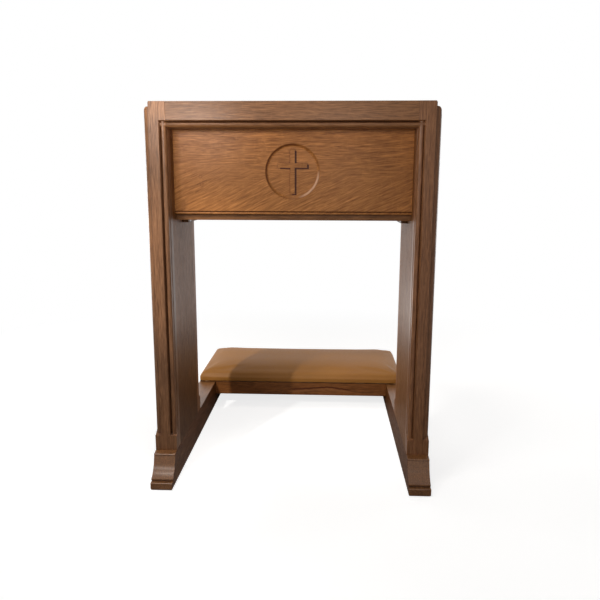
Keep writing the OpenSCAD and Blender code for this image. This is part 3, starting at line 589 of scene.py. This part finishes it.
def woods():
    """Each wooden node with its tone, the way that its grain runs and what sets its figure apart.
    A node's number in the list is its seed."""
    slope = top_slope()
    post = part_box("left_front_post")[0]
    post_knot = ((post.x + POST_KNOT_INWARD, FRONT_Y, post.z + POST_KNOT_UP), 5 * MM)
    return [
        ("left_front_post", POST_LEFT_SHADED, UP, {
            "figure": 0.7, "spacing": 3.6, "knots": [post_knot], "glaze_and_shade": MOULDING_GLAZE_AND_SHADE, "coat": POLISH,
            "marks": post_painted_light}),
        ("right_front_post", POST, UP, {
            "figure": 0.8, "spacing": 3.4, "pith": (0.02, -0.13), "glaze_and_shade": NARROW_GLAZE_AND_SHADE, "coat": POLISH}),
        ("left_rear_stile", POST, UP, {"figure": 0.7, "spacing": 3.8}),
        ("right_rear_stile", POST, UP, {"figure": 0.7, "spacing": 3.8, "pith": (-0.05, 0.11)}),
        ("left_end_rail", POST, slope, {"figure": 0.8, "spacing": 3.8}),
        ("right_end_rail", POST, slope, {"figure": 0.8, "spacing": 3.8, "pith": (0.04, 0.12)}),
        ("left_side_panel", BOARDS, UP, {"figure": 1.1, "coat": 0.0, "marks": board_painted_shade}),
        ("right_side_panel", BOARDS, UP, {"figure": 1.1, "pith": (-0.06, -0.08), "coat": 0.0}),
        ("front_rail", RAIL, LEVEL, {
            "figure": 0.8, "spacing": 3.4, "pith": (0.12, 0.05), "glaze_and_shade": MOULDING_GLAZE_AND_SHADE,
            "coat": POLISH}),
        ("carved_panel", CARVED, NEARLY_LEVEL, {
            "spacing": 5.2, "pith": (0.05, -0.86), "cross": (SWEPT_UP, low_on_panel),
            "knots": PANEL_KNOTS, "glaze_and_shade": PANEL_GLAZE_AND_SHADE, "marks": carving_painted_light}),
        ("book_shelf", BOARDS, LEVEL, {"figure": 1.1, "pith": (0.03, -0.55)}),
        ("left_shelf_bearer", BOARDS, DEEP, {}),
        ("right_shelf_bearer", BOARDS, DEEP, {}),
        ("book_rest", CARVED, LEVEL, {"figure": 1.2, "pith": (0.06, -0.80)}),
        ("book_ledge", RAIL, LEVEL, {"figure": 0.8, "spacing": 3.6}),
        ("left_rest_bearer", BOARDS, slope, {}),
        ("right_rest_bearer", BOARDS, slope, {}),
        ("left_runner", FOOT, DEEP, {"figure": 0.9, "spacing": 4.0, "marks": foot_shade_and_shine}),
        ("right_runner", FOOT, DEEP, {
            "figure": 0.9, "spacing": 4.0, "pith": (-0.07, 0.09), "marks": foot_shade_and_shine}),
        ("kneeler_front_rail", STRETCHER, LEVEL, {
            "figure": 1.3, "spacing": 6.0, "pith": (0.04, -0.03), "marks": rail_marks}),
        ("kneeler_rear_rail", STRETCHER, LEVEL, {}),
        ("glue_blocks", BEECH, LEVEL, {"figure": 0.5, "rough": BARE}),
        ("front_rail_dowels", BEECH, LEVEL, {"figure": 0.4, "rough": BARE}),
        ("end_rail_dowels", BEECH, DEEP, {"figure": 0.4, "rough": BARE}),
    ]


def finish_wood():
    for seed, (node, tone, axis, extra) in enumerate(woods(), start=1):
        dress(node, oak("oak_" + node, tone, axis, seed, **extra))


def dress(node, material):
    """Gives a CAD node its material, and eases its sharp edges a little."""
    piece = nodes[node]
    piece.data.materials.clear()
    piece.data.materials.append(material)
    weld = piece.modifiers.new("weld", "WELD")
    weld.merge_threshold = WELDED
    eased = piece.modifiers.new("eased", "BEVEL")
    eased.width = EASED
    eased.segments = 2
    eased.limit_method = "ANGLE"
    eased.angle_limit = EASED_FROM
    eased.use_clamp_overlap = False
    even = piece.modifiers.new("even", "WEIGHTED_NORMAL")
    even.keep_sharp = False


# ------------------------------ making pieces
def new_piece(name, mesh):
    piece = bpy.data.objects.new(name, mesh)
    scene.collection.objects.link(piece)
    return piece


def new_mesh(name, points, faces, smooth=True):
    mesh = bpy.data.meshes.new(name)
    mesh.from_pydata(points, [], faces)
    if smooth:
        mesh.shade_smooth()
    return mesh


def applied(piece, kind, **settings):
    """Adds one modifier to a piece and bakes it into its mesh."""
    made = piece.modifiers.new(kind.lower(), kind)
    for key, value in settings.items():
        setattr(made, key, value)
    shape = bpy.data.meshes.new_from_object(piece.evaluated_get(bpy.context.evaluated_depsgraph_get()))
    piece.modifiers.clear()
    piece.data = shape


def clamped(share):
    return max(0.0, min(1.0, share))


# ------------------------------ the kneeler's cushion
COVER_LO, COVER_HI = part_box("kneeler_cover")
# Its shape: the rounding of its lower edge, its upright side, the width and height of its rounded
# upper edge, the least and greatest radius of its corners in plan, and the reach and rise of its crown.
CUSHION_ARRIS = 4.5 * MM
CUSHION_SIDE = 20 * MM
CUSHION_EDGE_W, CUSHION_EDGE_H = 17 * MM, 13 * MM
CUSHION_CORNER_LOW, CUSHION_CORNER_HIGH = 10 * MM, 26 * MM
CUSHION_CROWN_W, CUSHION_CROWN_H = 92 * MM, 10 * MM
ARRIS_STEPS, EDGE_STEPS, CROWN_STEPS, CORNER_STEPS = 3, 7, 6, 8
# Its filling: how much smaller it starts, the height up to which it is held, the most that a point
# moves, and the size of the cloth's squares.
CUSHION_START = 0.4 * MM
CUSHION_HELD = 14 * MM
CUSHION_CAP = 3 * MM
CUSHION_VOXEL = 5 * MM
CUSHION_CLOTH = {
    "quality": 4, "mass": 0.3, "tension_stiffness": 15, "compression_stiffness": 15, "shear_stiffness": 5,
    "bending_stiffness": 0.6, "use_pressure": True, "uniform_pressure_force": 4}
SIM_FRAMES = 20
# Its cover: how far it stands inside the outline, how much further at its lower edge, and how deep
# the upright sides are gathered from. Underneath, it is turned in as a band round the edge, and the
# cushion is shallower within that band.
CUSHION_SKIN = 0.2 * MM
CUSHION_TUCK = 1.1 * MM
SIDE_DEPTH = 6 * MM
LOOKS_DOWN, LOOKS_STRAIGHT_DOWN = -0.7, -0.85
TURN_IN = 28 * MM
TURN_IN_FADE = 3 * MM
TURN_IN_DEPTH = 2.5 * MM
# Pleats near the corners, in millimetres: place from the corner, width and depth.
END_PLEATS = ((17, 2.4, 0.8), (25, 2.8, 0.45))
FACE_PLEATS = ((20, 2.6, 1.1), (13, 2.2, 0.7), (27, 3.0, 0.45))
PLEAT_LEAN = 0.10
PLEAT_REACH = 9 * MM
PLEAT_FADE = 0.8
RIPPLE_DEPTH = 0.55
RIPPLES_ALONG, RIPPLES_UP = 30, 8
FOLD_TOP, PLEAT_TOP, RIPPLE_TOP = 30 * MM, 26 * MM, 17 * MM


def cushion_ring(inset, z, radius):
    """One level of the cushion, a rectangle with rounded corners."""
    ring = []
    for corner, (right, back) in enumerate([(1, 1), (0, 1), (0, 0), (1, 0)]):
        middle = Vector((
            COVER_HI.x - inset - radius if right else COVER_LO.x + inset + radius,
            COVER_HI.y - inset - radius if back else COVER_LO.y + inset + radius,
            z))
        for step in range(CORNER_STEPS + 1):
            angle = math.pi / 2 * (corner + step / CORNER_STEPS)
            ring.append(middle + radius * Vector((math.cos(angle), math.sin(angle), 0)))
    return ring


def cushion_levels():
    """Insets, heights and corner radii of the cushion's levels, from its underside to its crown."""
    base = COVER_LO.z
    small, large = CUSHION_CORNER_LOW, CUSHION_CORNER_HIGH
    for step in range(ARRIS_STEPS + 1):
        angle = math.pi / 2 * step / ARRIS_STEPS
        yield CUSHION_ARRIS * (1 - math.sin(angle)), base + CUSHION_ARRIS * (1 - math.cos(angle)), small
    side_top = base + CUSHION_SIDE
    for step in range(EDGE_STEPS + 1):
        angle = math.pi / 2 * step / EDGE_STEPS
        share = 1 - math.cos(angle)
        radius = small + (large - small) * share
        yield CUSHION_EDGE_W * share, side_top + CUSHION_EDGE_H * math.sin(angle), radius
    for step in range(1, CROWN_STEPS + 1):
        share = step / CROWN_STEPS
        rise = CUSHION_CROWN_H * (1 - (1 - share) ** 2)
        yield CUSHION_EDGE_W + CUSHION_CROWN_W * share, side_top + CUSHION_EDGE_H + rise, large


def cushion_start():
    """The cushion before it is filled, as a closed mesh of its levels."""
    rings = [cushion_ring(inset + CUSHION_START, z, radius) for inset, z, radius in cushion_levels()]
    size = len(rings[0])
    points = [point for ring in rings for point in ring]
    faces = [tuple(range(size - 1, -1, -1))]
    for level in range(len(rings) - 1):
        for number in range(size):
            here, there = level * size + number, level * size + (number + 1) % size
            faces.append((here, there, there + size, here + size))
    faces.append(tuple(range((len(rings) - 1) * size, len(rings) * size)))
    return new_mesh("kneeler_cushion", points, faces)


def blown_up(piece, pinned):
    """Fills a closed mesh with air as cloth, and applies the result, with every move capped."""
    rest = [vertex.co.copy() for vertex in piece.data.vertices]
    group = piece.vertex_groups.new(name="held")
    group.add([number for number, co in enumerate(rest) if pinned(co)], 1.0, "REPLACE")
    cloth = piece.modifiers.new("cloth", "CLOTH").settings
    for key, value in CUSHION_CLOTH.items():
        setattr(cloth, key, value)
    cloth.effector_weights.gravity = 0
    cloth.vertex_group_mass = "held"
    for frame_number in range(1, SIM_FRAMES + 1):
        scene.frame_set(frame_number)
    shape = piece.evaluated_get(bpy.context.evaluated_depsgraph_get())
    moved = [vertex.co.copy() for vertex in shape.data.vertices]
    piece.modifiers.clear()
    piece.vertex_groups.clear()
    scene.frame_set(1)
    for vertex, start, end in zip(piece.data.vertices, rest, moved):
        step = end - start
        if step.length > CUSHION_CAP:
            step.length = CUSHION_CAP
        vertex.co = start + step


def inside_outline(co):
    """How far a point lies within the cushion's outline in plan, and the way straight out to it."""
    middle = (COVER_LO + COVER_HI) / 2
    half = (COVER_HI - COVER_LO) / 2
    radius = CUSHION_CORNER_LOW
    x, y = co.x - middle.x, co.y - middle.y
    over_x, over_y = abs(x) - (half.x - radius), abs(y) - (half.y - radius)
    if over_x > 0 and over_y > 0:
        out = Vector((math.copysign(over_x, x), math.copysign(over_y, y), 0))
        return radius - out.length, out.normalized()
    if over_x - over_y > 0:
        return radius - over_x, Vector((math.copysign(1, x), 0, 0))
    return radius - over_y, Vector((0, math.copysign(1, y), 0))


def pull_sides_out(mesh):
    """Lays the cushion's upright sides against the cover's outline, as a stapled cover lies."""
    normals = [vertex.normal.copy() for vertex in mesh.vertices]
    for vertex, normal in zip(mesh.vertices, normals):
        height = vertex.co.z - COVER_LO.z
        inside, outward = inside_outline(vertex.co)
        if height < CUSHION_SIDE and inside < SIDE_DEPTH and normal.z > LOOKS_STRAIGHT_DOWN:
            grip = 1 - clamped((height - CUSHION_HELD) / (CUSHION_SIDE - CUSHION_HELD))
            tuck = CUSHION_TUCK * max(0.0, 1 - height / CUSHION_ARRIS)
            vertex.co += outward * (inside - CUSHION_SKIN - tuck) * grip


def pleat_depth(pleats, along, height):
    """The depth in millimetres of a row of pleats, at a distance along it from the corner."""
    depth = 0.0
    for place, width, size in pleats:
        depth += size * math.exp(-((along / MM - place - height / MM * PLEAT_LEAN) / width) ** 2)
    return depth


def cushion_fold(co):
    """How deep the cover is drawn in at a point: pleats round each corner and a light ripple along
    the sides."""
    from_end = min(COVER_HI.x - co.x, co.x - COVER_LO.x)
    from_face = min(COVER_HI.y - co.y, co.y - COVER_LO.y)
    height = co.z - COVER_LO.z
    if height > FOLD_TOP:
        return 0.0
    depth = 0.0
    if from_face < PLEAT_REACH:
        depth += pleat_depth(FACE_PLEATS, from_end, height)
    if from_end < PLEAT_REACH:
        depth += pleat_depth(END_PLEATS, from_face, height)
    fade = max(0.0, 1 - height / PLEAT_TOP) ** PLEAT_FADE
    ripple = noise.noise(Vector((co.x * RIPPLES_ALONG, co.y * RIPPLES_ALONG, height * RIPPLES_UP)))
    low = max(0.0, 1 - height / RIPPLE_TOP)
    return (depth * fade + RIPPLE_DEPTH * ripple * low) * MM


def fold_cover(mesh):
    """Draws the pleats and ripples into the cover, and turns it in flat underneath."""
    normals = [vertex.normal.copy() for vertex in mesh.vertices]
    for vertex, normal in zip(mesh.vertices, normals):
        vertex.co -= normal * cushion_fold(vertex.co)
        co = vertex.co
        if normal.z < LOOKS_DOWN:
            inside = min(co.x - COVER_LO.x, COVER_HI.x - co.x, co.y - COVER_LO.y, COVER_HI.y - co.y)
            co.z = COVER_LO.z + TURN_IN_DEPTH * clamped((inside - TURN_IN) / TURN_IN_FADE)
        co.z = max(co.z, COVER_LO.z)


def make_cushion():
    piece = new_piece("kneeler_cushion", cushion_start())
    applied(piece, "REMESH", mode="VOXEL", voxel_size=CUSHION_VOXEL, use_smooth_shade=True)
    blown_up(piece, lambda co: co.z < COVER_LO.z + CUSHION_HELD)
    applied(piece, "SUBSURF", levels=1, render_levels=1)
    applied(piece, "SMOOTH", factor=0.5, iterations=8)
    pull_sides_out(piece.data)
    fold_cover(piece.data)
    piece.data.materials.append(vinyl())
    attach(piece, "root")
    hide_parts("kneeler_cover", "kneeler_foam")


VINYL_DARK, VINYL_LIGHT = linear(154, 101, 40), linear(171, 116, 49)
# The colour in the pebbles' gaps, and the painted shade on faces that look down.
VINYL_GAP, VINYL_UNDER_SHADE = linear(114, 75, 36), linear(58, 38, 22)
PEBBLES_PER_METRE = 720
PEBBLE_SHIFT = 1.2 * MM
PEBBLE_EDGE, GAP_SHARE = [(0.0, 0.0), (0.28, 1.0)], 0.35
TURNED_UNDER_SHADE = [(0.22, 0.0), (0.46, 1.0)]


def vinyl():
    """Tan leathercloth: a fine pebbled grain, with a faint mottle, and painted shade where it turns
    under.
    """
    sh = Shader("vinyl")
    place = sh.place()
    mottle = sh.noise(place, scale=9, detail=3.0)
    shift = sh.noise(place, scale=300, output="Color")
    shift = sh.scaled(shift, PEBBLE_SHIFT, PEBBLE_SHIFT, PEBBLE_SHIFT)
    cells = sh.node("ShaderNodeTexVoronoi", feature="DISTANCE_TO_EDGE")
    sh.feed(cells.inputs["Vector"], sh.vector("ADD", place, shift))
    sh.feed(cells.inputs["Scale"], PEBBLES_PER_METRE)
    pebble = sh.ramp(cells.outputs["Distance"], PEBBLE_EDGE, smooth=True)
    colour = sh.mix(mottle, VINYL_DARK, VINYL_LIGHT)
    gaps = sh.math("SUBTRACT", 1.0, pebble)
    colour = sh.mix(sh.product(gaps, GAP_SHARE), colour, VINYL_GAP)
    # Painted shade where the cover turns under and looks down.
    upward = sh.math("ADD", sh.product(sh.apart(sh.facing())[2], 0.5), 0.5)
    colour = sh.mix(sh.ramp(upward, TURNED_UNDER_SHADE), VINYL_UNDER_SHADE, colour)
    sh.paint({
        "Base Color": colour,
        "Roughness": sh.math("ADD", sh.product(mottle, 0.12), 0.44),
        "IOR": 1.35,
    })
    sh.bump(pebble, 0.30, 0.25 * MM)
    return sh.material


# ------------------------------ under the kneeler
CLOTH_LO, CLOTH_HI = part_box("kneeler_under_cloth")
CLOTH_W, CLOTH_D = CLOTH_HI.x - CLOTH_LO.x, CLOTH_HI.y - CLOTH_LO.y
CLOTH_SAG = 1.0 * MM
CLOTH_STEP = 8 * MM
PUCKERS_PER_METRE, PUCKER_PLACE, PUCKER_SHARE = 22, 0.4, 0.5
THREADS_PER_METRE = 160
STAPLE_W, STAPLE_T = 10 * MM, 0.6 * MM
STAPLE_INSET = 5 * MM
STAPLE_SHOULDER = 1.2 * MM
STAPLE_LEG = 1.6 * MM
STAPLE_GAP = 0.15 * MM
STAPLES_LONG, STAPLES_SHORT = 9, 4
SHOULDER_STEPS, WIRE_SIDES = 4, 6
# Two veneers of the board together.
PLY_PAIR = 2.8 * MM


def cloth_level(x, y):
    """Height of the cloth's middle at a point: tight at its edges, slack between them."""
    across = (x - CLOTH_LO.x) / CLOTH_W
    along = (y - CLOTH_LO.y) / CLOTH_D
    slack = math.sin(math.pi * across) ** 0.5 * math.sin(math.pi * along) ** 0.5
    pucker = noise.noise(Vector((x * PUCKERS_PER_METRE, y * PUCKERS_PER_METRE, PUCKER_PLACE)))
    sag = slack * CLOTH_SAG * (1 + PUCKER_SHARE * pucker)
    return CLOTH_HI.z - (CLOTH_HI.z - CLOTH_LO.z) / 2 - sag


def make_under_cloth():
    """The black cloth stapled over the underside of the kneeler's board."""
    columns = round(CLOTH_W / CLOTH_STEP)
    rows = round(CLOTH_D / CLOTH_STEP)
    points = []
    for row in range(rows + 1):
        y = CLOTH_LO.y + CLOTH_D * row / rows
        for column in range(columns + 1):
            x = CLOTH_LO.x + CLOTH_W * column / columns
            points.append((x, y, cloth_level(x, y)))
    faces = []
    for row in range(rows):
        for column in range(columns):
            here = row * (columns + 1) + column
            faces.append((here, here + columns + 1, here + columns + 2, here + 1))
    cloth = new_piece("under_cloth", new_mesh("under_cloth", points, faces))
    applied(cloth, "SOLIDIFY", thickness=CLOTH_HI.z - CLOTH_LO.z, offset=0)
    cloth.data.materials.append(black_cloth())
    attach(cloth, "root")
    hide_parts("kneeler_under_cloth")


def black_cloth():
    """Thin black woven cloth, dusty in patches."""
    sh = Shader("black_cloth")
    place = sh.place()
    warp = sh.node("ShaderNodeTexWave", bands_direction="X")
    weft = sh.node("ShaderNodeTexWave", bands_direction="Y")
    for wave in (warp, weft):
        sh.feed(wave.inputs["Vector"], place)
        sh.feed(wave.inputs["Scale"], THREADS_PER_METRE)
        sh.feed(wave.inputs["Distortion"], 1.2)
    weave = sh.math("MAXIMUM", warp.outputs["Fac"], weft.outputs["Fac"])
    worn = sh.noise(place, scale=14, detail=3.0)
    shade = sh.math("ADD", sh.product(weave, 0.5), sh.product(worn, 0.5))
    sh.paint({
        "Base Color": sh.mix(shade, (0.006, 0.006, 0.007), (0.035, 0.034, 0.034)),
        "Roughness": 0.9,
        "Sheen Weight": 0.15,
    })
    sh.bump(weave, 0.5, 0.2 * MM)
    return sh.material


def staple_places():
    """Middles of the staples round the cloth's edge, each with the way that it lies."""
    left, right = CLOTH_LO.x + STAPLE_INSET, CLOTH_HI.x - STAPLE_INSET
    front, back = CLOTH_LO.y + STAPLE_INSET, CLOTH_HI.y - STAPLE_INSET
    for number in range(STAPLES_LONG):
        x = left + (right - left) * (number + 0.5) / STAPLES_LONG
        yield (x, front), (1, 0)
        yield (x, back), (1, 0)
    for number in range(STAPLES_SHORT):
        y = front + (back - front) * (number + 0.5) / STAPLES_SHORT
        yield (left, y), (0, 1)
        yield (right, y), (0, 1)


def staple_route():
    """The middle of a staple's wire, as places along its crown and heights: a leg, a rounded
    shoulder, and the same again on the other side."""
    half = STAPLE_W / 2
    level = CLOTH_LO.z - STAPLE_T / 2 - STAPLE_GAP
    route = [(-half, level + STAPLE_LEG), (-half, level + STAPLE_SHOULDER)]
    for step in range(1, SHOULDER_STEPS + 1):
        angle = math.pi / 2 * step / SHOULDER_STEPS
        in_by = STAPLE_SHOULDER * (1 - math.cos(angle))
        up_by = STAPLE_SHOULDER * (1 - math.sin(angle))
        route.append((-half + in_by, level + up_by))
    return route + [(-along, height) for along, height in reversed(route)]


def staple_ring(bm, route, number, at, run):
    """The wire's outline at one point of a staple's route."""
    along, height = route[number]
    before, after = route[max(number - 1, 0)], route[min(number + 1, len(route) - 1)]
    ahead = Vector((after[0] - before[0], after[1] - before[1])).normalized()
    middle = Vector((at[0] + run[0] * along, at[1] + run[1] * along, height))
    normal = Vector((-ahead.y * run[0], -ahead.y * run[1], ahead.x))
    side = Vector((-run[1], run[0], 0))
    ring = []
    for turn in range(WIRE_SIDES):
        angle = math.tau * turn / WIRE_SIDES
        out = normal * math.cos(angle) + side * math.sin(angle)
        ring.append(bm.verts.new(middle + STAPLE_T / 2 * out))
    return ring


def make_staples():
    """Wire staples: a crown that lies on the cloth, with shoulders that turn up into the board."""
    bm = bmesh.new()
    route = staple_route()
    for at, run in staple_places():
        rings = [staple_ring(bm, route, number, at, run) for number in range(len(route))]
        for first, second in zip(rings, rings[1:]):
            for turn in range(WIRE_SIDES):
                after = (turn + 1) % WIRE_SIDES
                bm.faces.new((first[turn], first[after], second[after], second[turn]))
        bm.faces.new(rings[0][::-1])
        bm.faces.new(rings[-1])
    bmesh.ops.recalc_face_normals(bm, faces=bm.faces)
    mesh = bpy.data.meshes.new("cloth_staples")
    bm.to_mesh(mesh)
    bm.free()
    mesh.shade_smooth()
    mesh.materials.append(steel("staple_steel"))
    staples = new_piece("cloth_staples", mesh)
    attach(staples, "root")


def steel(name):
    """Plated steel with a fine spangle."""
    sh = Shader(name)
    spangle = sh.noise(sh.place(), scale=420, detail=3.0)
    sh.paint({
        "Base Color": sh.mix(spangle, (0.42, 0.42, 0.44), (0.66, 0.66, 0.68)),
        "Metallic": 1.0,
        "Roughness": sh.math("ADD", sh.product(spangle, 0.25), 0.25),
    })
    sh.bump(spangle, 0.2, 0.1 * MM)
    return sh.material


def plywood():
    """Birch plywood: thin veneers whose edges show as lighter and darker layers."""
    sh = Shader("plywood")
    place = sh.place()
    layer = sh.math("FRACT", sh.math("DIVIDE", sh.apart(place)[2], PLY_PAIR))
    turned = sh.math("GREATER_THAN", layer, 0.5)
    grain = sh.noise(sh.scaled(place, 8, 220, 220), detail=4.0, roughness=0.6)
    cross = sh.noise(sh.scaled(place, 220, 8, 220), detail=4.0, roughness=0.6)
    face = sh.mix(grain, linear(186, 150, 108), linear(222, 192, 150))
    core = sh.mix(cross, linear(160, 120, 82), linear(196, 158, 116))
    sh.paint({"Base Color": sh.mix(turned, face, core), "Roughness": 0.75})
    sh.bump(grain, 0.3, 0.2 * MM)
    return sh.material


def finish_small_parts():
    dress("kneeler_board", plywood())
    dress("kneeler_screws", steel("kneeler_screw_steel"))
    dress("bearer_screws", steel("bearer_screw_steel"))


# ------------------------------ light and floor
AMBIENT, AMBIENT_STRENGTH = (1.0, 0.97, 0.94, 1), 0.09
WHITE = (1, 1, 1, 1)
FLOOR_REACH = 8.0
FLOOR_DROP = 0.2 * MM
FLOOR_GLOW = 0.78
FLOOR_FADE_START, FLOOR_FADE_END = 0.75, 1.7


def make_world():
    """Soft light from all round, in front of a plain white background."""
    world = bpy.data.worlds.new("world")
    scene.world = world
    world.use_nodes = True
    tree = world.node_tree
    tree.nodes.clear()
    path = tree.nodes.new("ShaderNodeLightPath")
    soft = tree.nodes.new("ShaderNodeBackground")
    soft.inputs["Color"].default_value = AMBIENT
    soft.inputs["Strength"].default_value = AMBIENT_STRENGTH
    white = tree.nodes.new("ShaderNodeBackground")
    white.inputs["Color"].default_value = WHITE
    white.inputs["Strength"].default_value = 1.0
    seen = path.outputs["Is Camera Ray"]
    for ray in ("Is Glossy Ray", "Is Transmission Ray"):
        either = tree.nodes.new("ShaderNodeMath")
        either.operation = "MAXIMUM"
        tree.links.new(seen, either.inputs[0])
        tree.links.new(path.outputs[ray], either.inputs[1])
        seen = either.outputs[0]
    mix = tree.nodes.new("ShaderNodeMixShader")
    tree.links.new(seen, mix.inputs[0])
    tree.links.new(soft.outputs[0], mix.inputs[1])
    tree.links.new(white.outputs[0], mix.inputs[2])
    out = tree.nodes.new("ShaderNodeOutputWorld")
    tree.links.new(mix.outputs[0], out.inputs[0])


def make_floor():
    """A pale floor that keeps the shadow under the object and fades to plain white away from it."""
    corners = [(x * FLOOR_REACH, y * FLOOR_REACH, 0) for x, y in ((-1, -1), (1, -1), (1, 1), (-1, 1))]
    floor = new_piece("floor", new_mesh("floor", corners, [(0, 1, 2, 3)], smooth=False))
    floor.location.z = cad_lo.z - FLOOR_DROP
    floor.data.materials.append(floor_paint())


def floor_paint():
    """Matt grey to the object's light, and bright to the camera: lit near the object, white far off."""
    sh = Shader("floor")
    speckle = sh.noise(sh.place(), scale=40, detail=3.0)
    sh.paint({
        "Base Color": sh.mix(speckle, (0.40, 0.39, 0.38), (0.44, 0.43, 0.42)),
        "Roughness": 0.9,
    })
    lit = sh.node("ShaderNodeBsdfDiffuse")
    lit.inputs["Color"].default_value = (0.5, 0.5, 0.5, 1)
    glow = sh.node("ShaderNodeEmission")
    glow.inputs["Strength"].default_value = FLOOR_GLOW
    white = sh.node("ShaderNodeEmission")
    white.inputs["Strength"].default_value = 1.0
    path = sh.node("ShaderNodeLightPath")
    straight = sh.math("MAXIMUM", path.outputs["Is Camera Ray"], path.outputs["Is Transmission Ray"])
    pale = sh.shader("ShaderNodeAddShader", lit.outputs[0], glow.outputs[0])
    near = sh.shader("ShaderNodeMixShader", sh.surface.outputs[0], pale, share=straight)
    away = sh.scaled(sh.node("ShaderNodeNewGeometry").outputs["Position"], 1, 1, 0)
    far = sh.math("DIVIDE", sh.vector("LENGTH", away), FLOOR_FADE_END)
    far = sh.ramp(far, [(FLOOR_FADE_START / FLOOR_FADE_END, 0.0), (1.0, 1.0)], smooth=True)
    seen = sh.math("MAXIMUM", straight, path.outputs["Is Glossy Ray"])
    fade = sh.shader("ShaderNodeMixShader", near, white.outputs[0], share=sh.product(far, seen))
    sh.feed(sh.tree.nodes["Material Output"].inputs["Surface"], fade)
    return sh.material


# Name, place, what it shines at, width in metres and power in watts, and of a spot its cone's angle
# in degrees and the softness of its edge. The two high spots shine past the left end and leave a
# band of shade on the kneeler between them.
HIGH_LEFT = (-0.82, -1.48, 1.52)
LAMPS = [
    ("key", (-0.26, FRONT_Y - 0.38, 0.80), (-0.22, FRONT_Y, 0.72), 0.16, 0.95, None),
    ("side", (-0.58, FRONT_Y - 1.0, 0.93), (-0.20, FRONT_Y, 0.70), 0.16, 2.6, None),
    ("camera_side", (0.10, FRONT_Y - 1.30, 0.78), (0, FRONT_Y, 0.55), 0.30, 2.1, None),
    ("high_left", HIGH_LEFT, (-0.258, 0.20, 0.111), 0.03, 100, (13, 0.35)),
    ("high_right", HIGH_LEFT, (0.170, 0.20, -0.087), 0.03, 64, (13, 0.35)),
    ("over", (-0.10, FRONT_Y - 0.30, 1.70), (0, FRONT_Y - 0.05, 0.0), 0.30, 4, None),
    ("foot", (-0.46, -1.0, 1.69), (-0.28, -0.42, 0.03), 0.10, 34, (14, 0.8)),
    ("bounce", (0.0, 0.10, 0.30), (0.257, -0.18, 0.28), 0.20, 0.4, None),
    ("back_right", (1.70, 0.95, 0.55), (0.27, -0.10, 0.42), 0.70, 7.5, None),
    ("back_left", (-1.70, 0.95, 0.55), (-0.27, -0.10, 0.42), 0.70, 12, None),
    ("sky", (0.1, 0.45, 1.9), (0, 0.2, 0.1), 0.45, 4, None),
]
LAMP_COLOUR = (1, 0.97, 0.93)


def lamp_light(name, size, cone):
    if cone is None:
        light = bpy.data.lights.new(name, "AREA")
        light.shape = "DISK"
        light.size = size
        return light
    angle, softness = cone
    light = bpy.data.lights.new(name, "SPOT")
    light.shadow_soft_size = size
    light.spot_size = math.radians(angle)
    light.spot_blend = softness
    return light


def make_lamps():
    for name, at, aim, size, energy, cone in LAMPS:
        light = lamp_light(name, size, cone)
        light.energy = energy
        light.color = LAMP_COLOUR
        lamp = bpy.data.objects.new(name, light)
        scene.collection.objects.link(lamp)
        lamp.visible_camera = False
        lamp.location = at
        lamp.rotation_mode = "QUATERNION"
        lamp.rotation_quaternion = (Vector(aim) - lamp.location).to_track_quat("-Z", "Y")


make_camera()
finish_wood()
make_cushion()
make_under_cloth()
make_staples()
finish_small_parts()
make_floor()
make_world()
make_lamps()

scene.view_settings.view_transform = "Standard"
